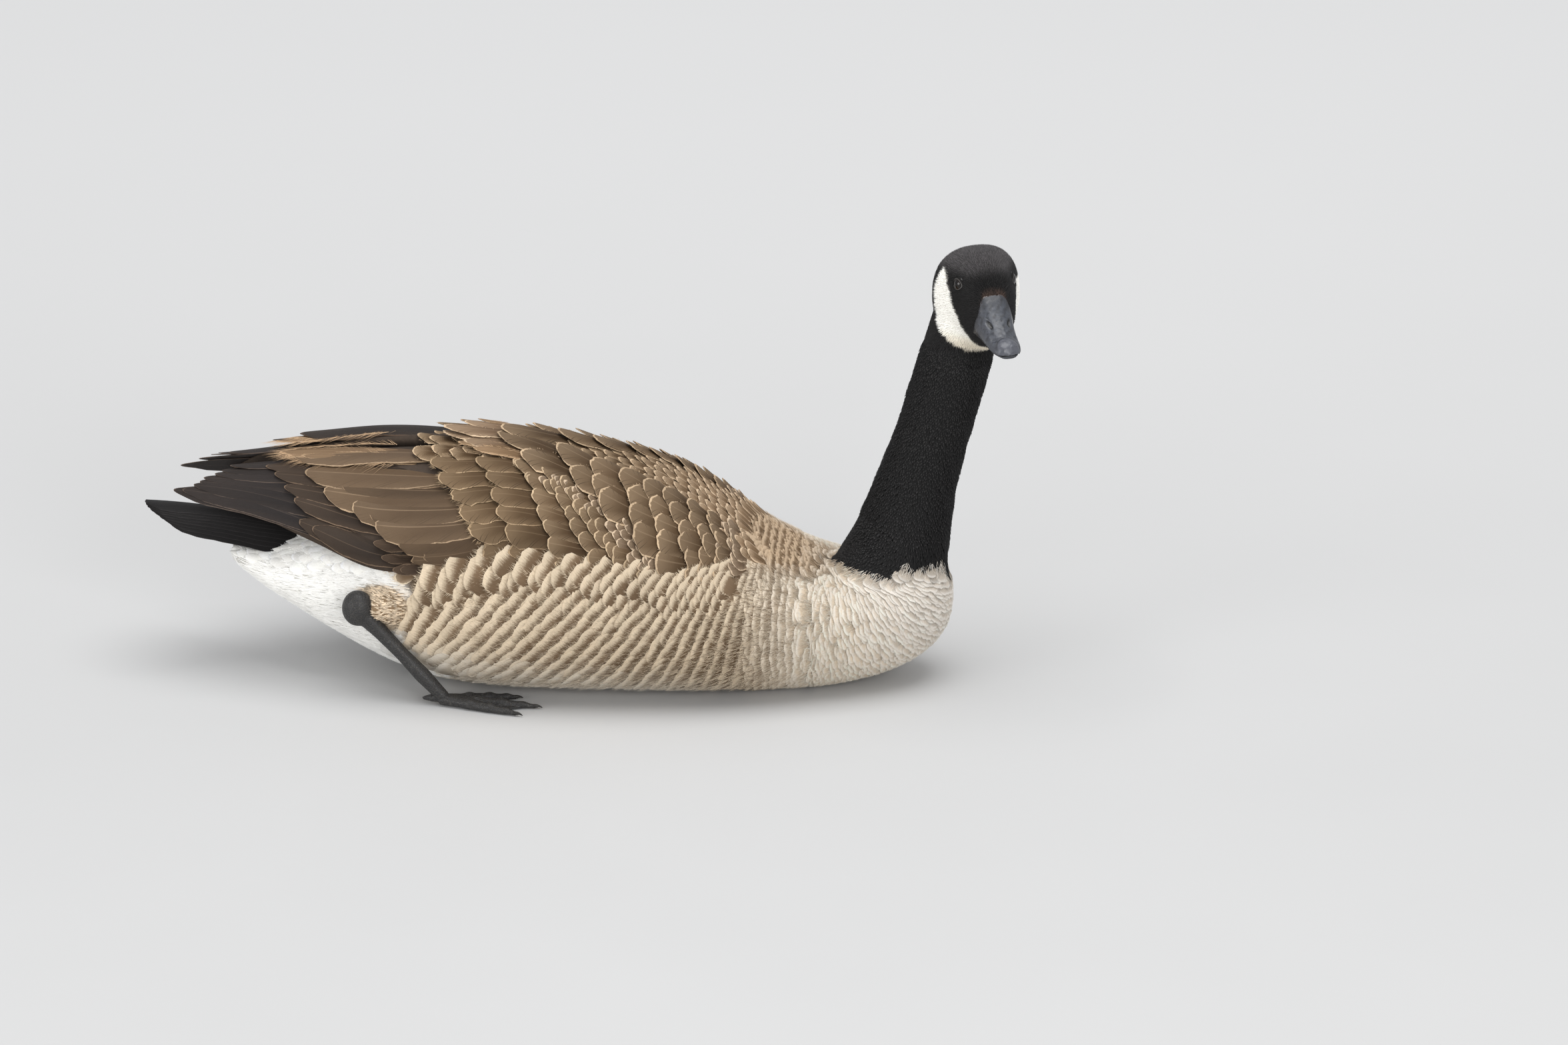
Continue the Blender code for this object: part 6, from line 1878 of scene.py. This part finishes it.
def makeLegs():
    finish = scaleMaterial()
    clawFinish = plainMaterial("claw", (0.012, 0.011, 0.010), (0.030, 0.027, 0.024), 500.0, 0.3)
    for sideName in rightAndLeft:
        makeLeg(sideName, finish, clawFinish)


makeLegs()

# Studio: pale floor, soft light from above, the camera of the photograph
def makeStudio():
    points = [(x, y, 0.0) for y in (-9, 9) for x in (-9, 9)]
    faces = [(0, 1, 3, 2)]
    floor = meshObject("floor", points, faces)
    made, tree, shader = newMaterial("plaster", 0.85, 0.0, 0.2)
    place = node(tree, "ShaderNodeTexCoord").outputs["Object"]
    grain = node(tree, "ShaderNodeTexNoise", in_2=3.0, in_3=5.0)
    link(tree, place, grain.inputs[0])
    parts = node(tree, "ShaderNodeSeparateXYZ")
    link(tree, place, parts.inputs[0])
    # painted light: the floor is painted lighter towards the back, where the lamps light it less
    behind = node(tree, "ShaderNodeMapRange", interpolation_type="SMOOTHSTEP", in_1=-0.4, in_2=2.4)
    link(tree, parts.outputs[1], behind.inputs[0])
    plaster = blend2(tree, grain.outputs[0], (0.490, 0.490, 0.488), (0.515, 0.515, 0.513))
    link(tree, blend2(tree, behind.outputs[0], plaster, (0.67, 0.67, 0.668)), shader.inputs["Base Color"])
    floor.data.materials.append(made)


def addLamp(name, place, target, width, power, colour=(1, 1, 1)):
    lamp = bpy.data.lights.new(name, "AREA")
    lamp.shape = "DISK"
    lamp.size = width
    lamp.energy = power
    lamp.color = colour
    made = bpy.data.objects.new(name, lamp)
    made.location = place
    made.rotation_euler = (Vector(target) - Vector(place)).to_track_quat("-Z", "Y").to_euler()
    scene.collection.objects.link(made)


def makeCamera():
    view = {"azimuth": math.radians(3.3), "elevation": math.radians(20), "distance": 10.0,
            "aim": Vector((0.1503, 0.0, 0.1206)), "across": 1.176}
    level = math.cos(view["elevation"])
    back = Vector((math.sin(view["azimuth"]) * level, -math.cos(view["azimuth"]) * level, math.sin(view["elevation"])))
    lens = bpy.data.cameras.new("camera")
    lens.sensor_width = 36
    lens.lens = 36 * view["distance"] / view["across"]
    lens.clip_end = 40
    made = bpy.data.objects.new("camera", lens)
    made.location = view["aim"] + back * view["distance"]
    made.rotation_euler = (-back).to_track_quat("-Z", "Y").to_euler()
    scene.collection.objects.link(made)
    scene.camera = made


makeStudio()
addLamp("overhead", (0.3, -0.5, 4.0), (0.0, 0.0, 0.1), 3.6, 130)
addLamp("front", (1.9, -4.4, 1.7), (0.05, 0.0, 0.12), 2.4, 105)
addLamp("tailSide", (-3.6, -3.0, 1.0), (-0.15, 0.0, 0.10), 2.4, 75)
makeCamera()
world = bpy.data.worlds.new("sky")
world.use_nodes = True
world.node_tree.nodes["Background"].inputs[0].default_value = (0.97, 0.98, 1.0, 1.0)
world.node_tree.nodes["Background"].inputs[1].default_value = 0.62
scene.world = world
scene.view_settings.view_transform = "Standard"
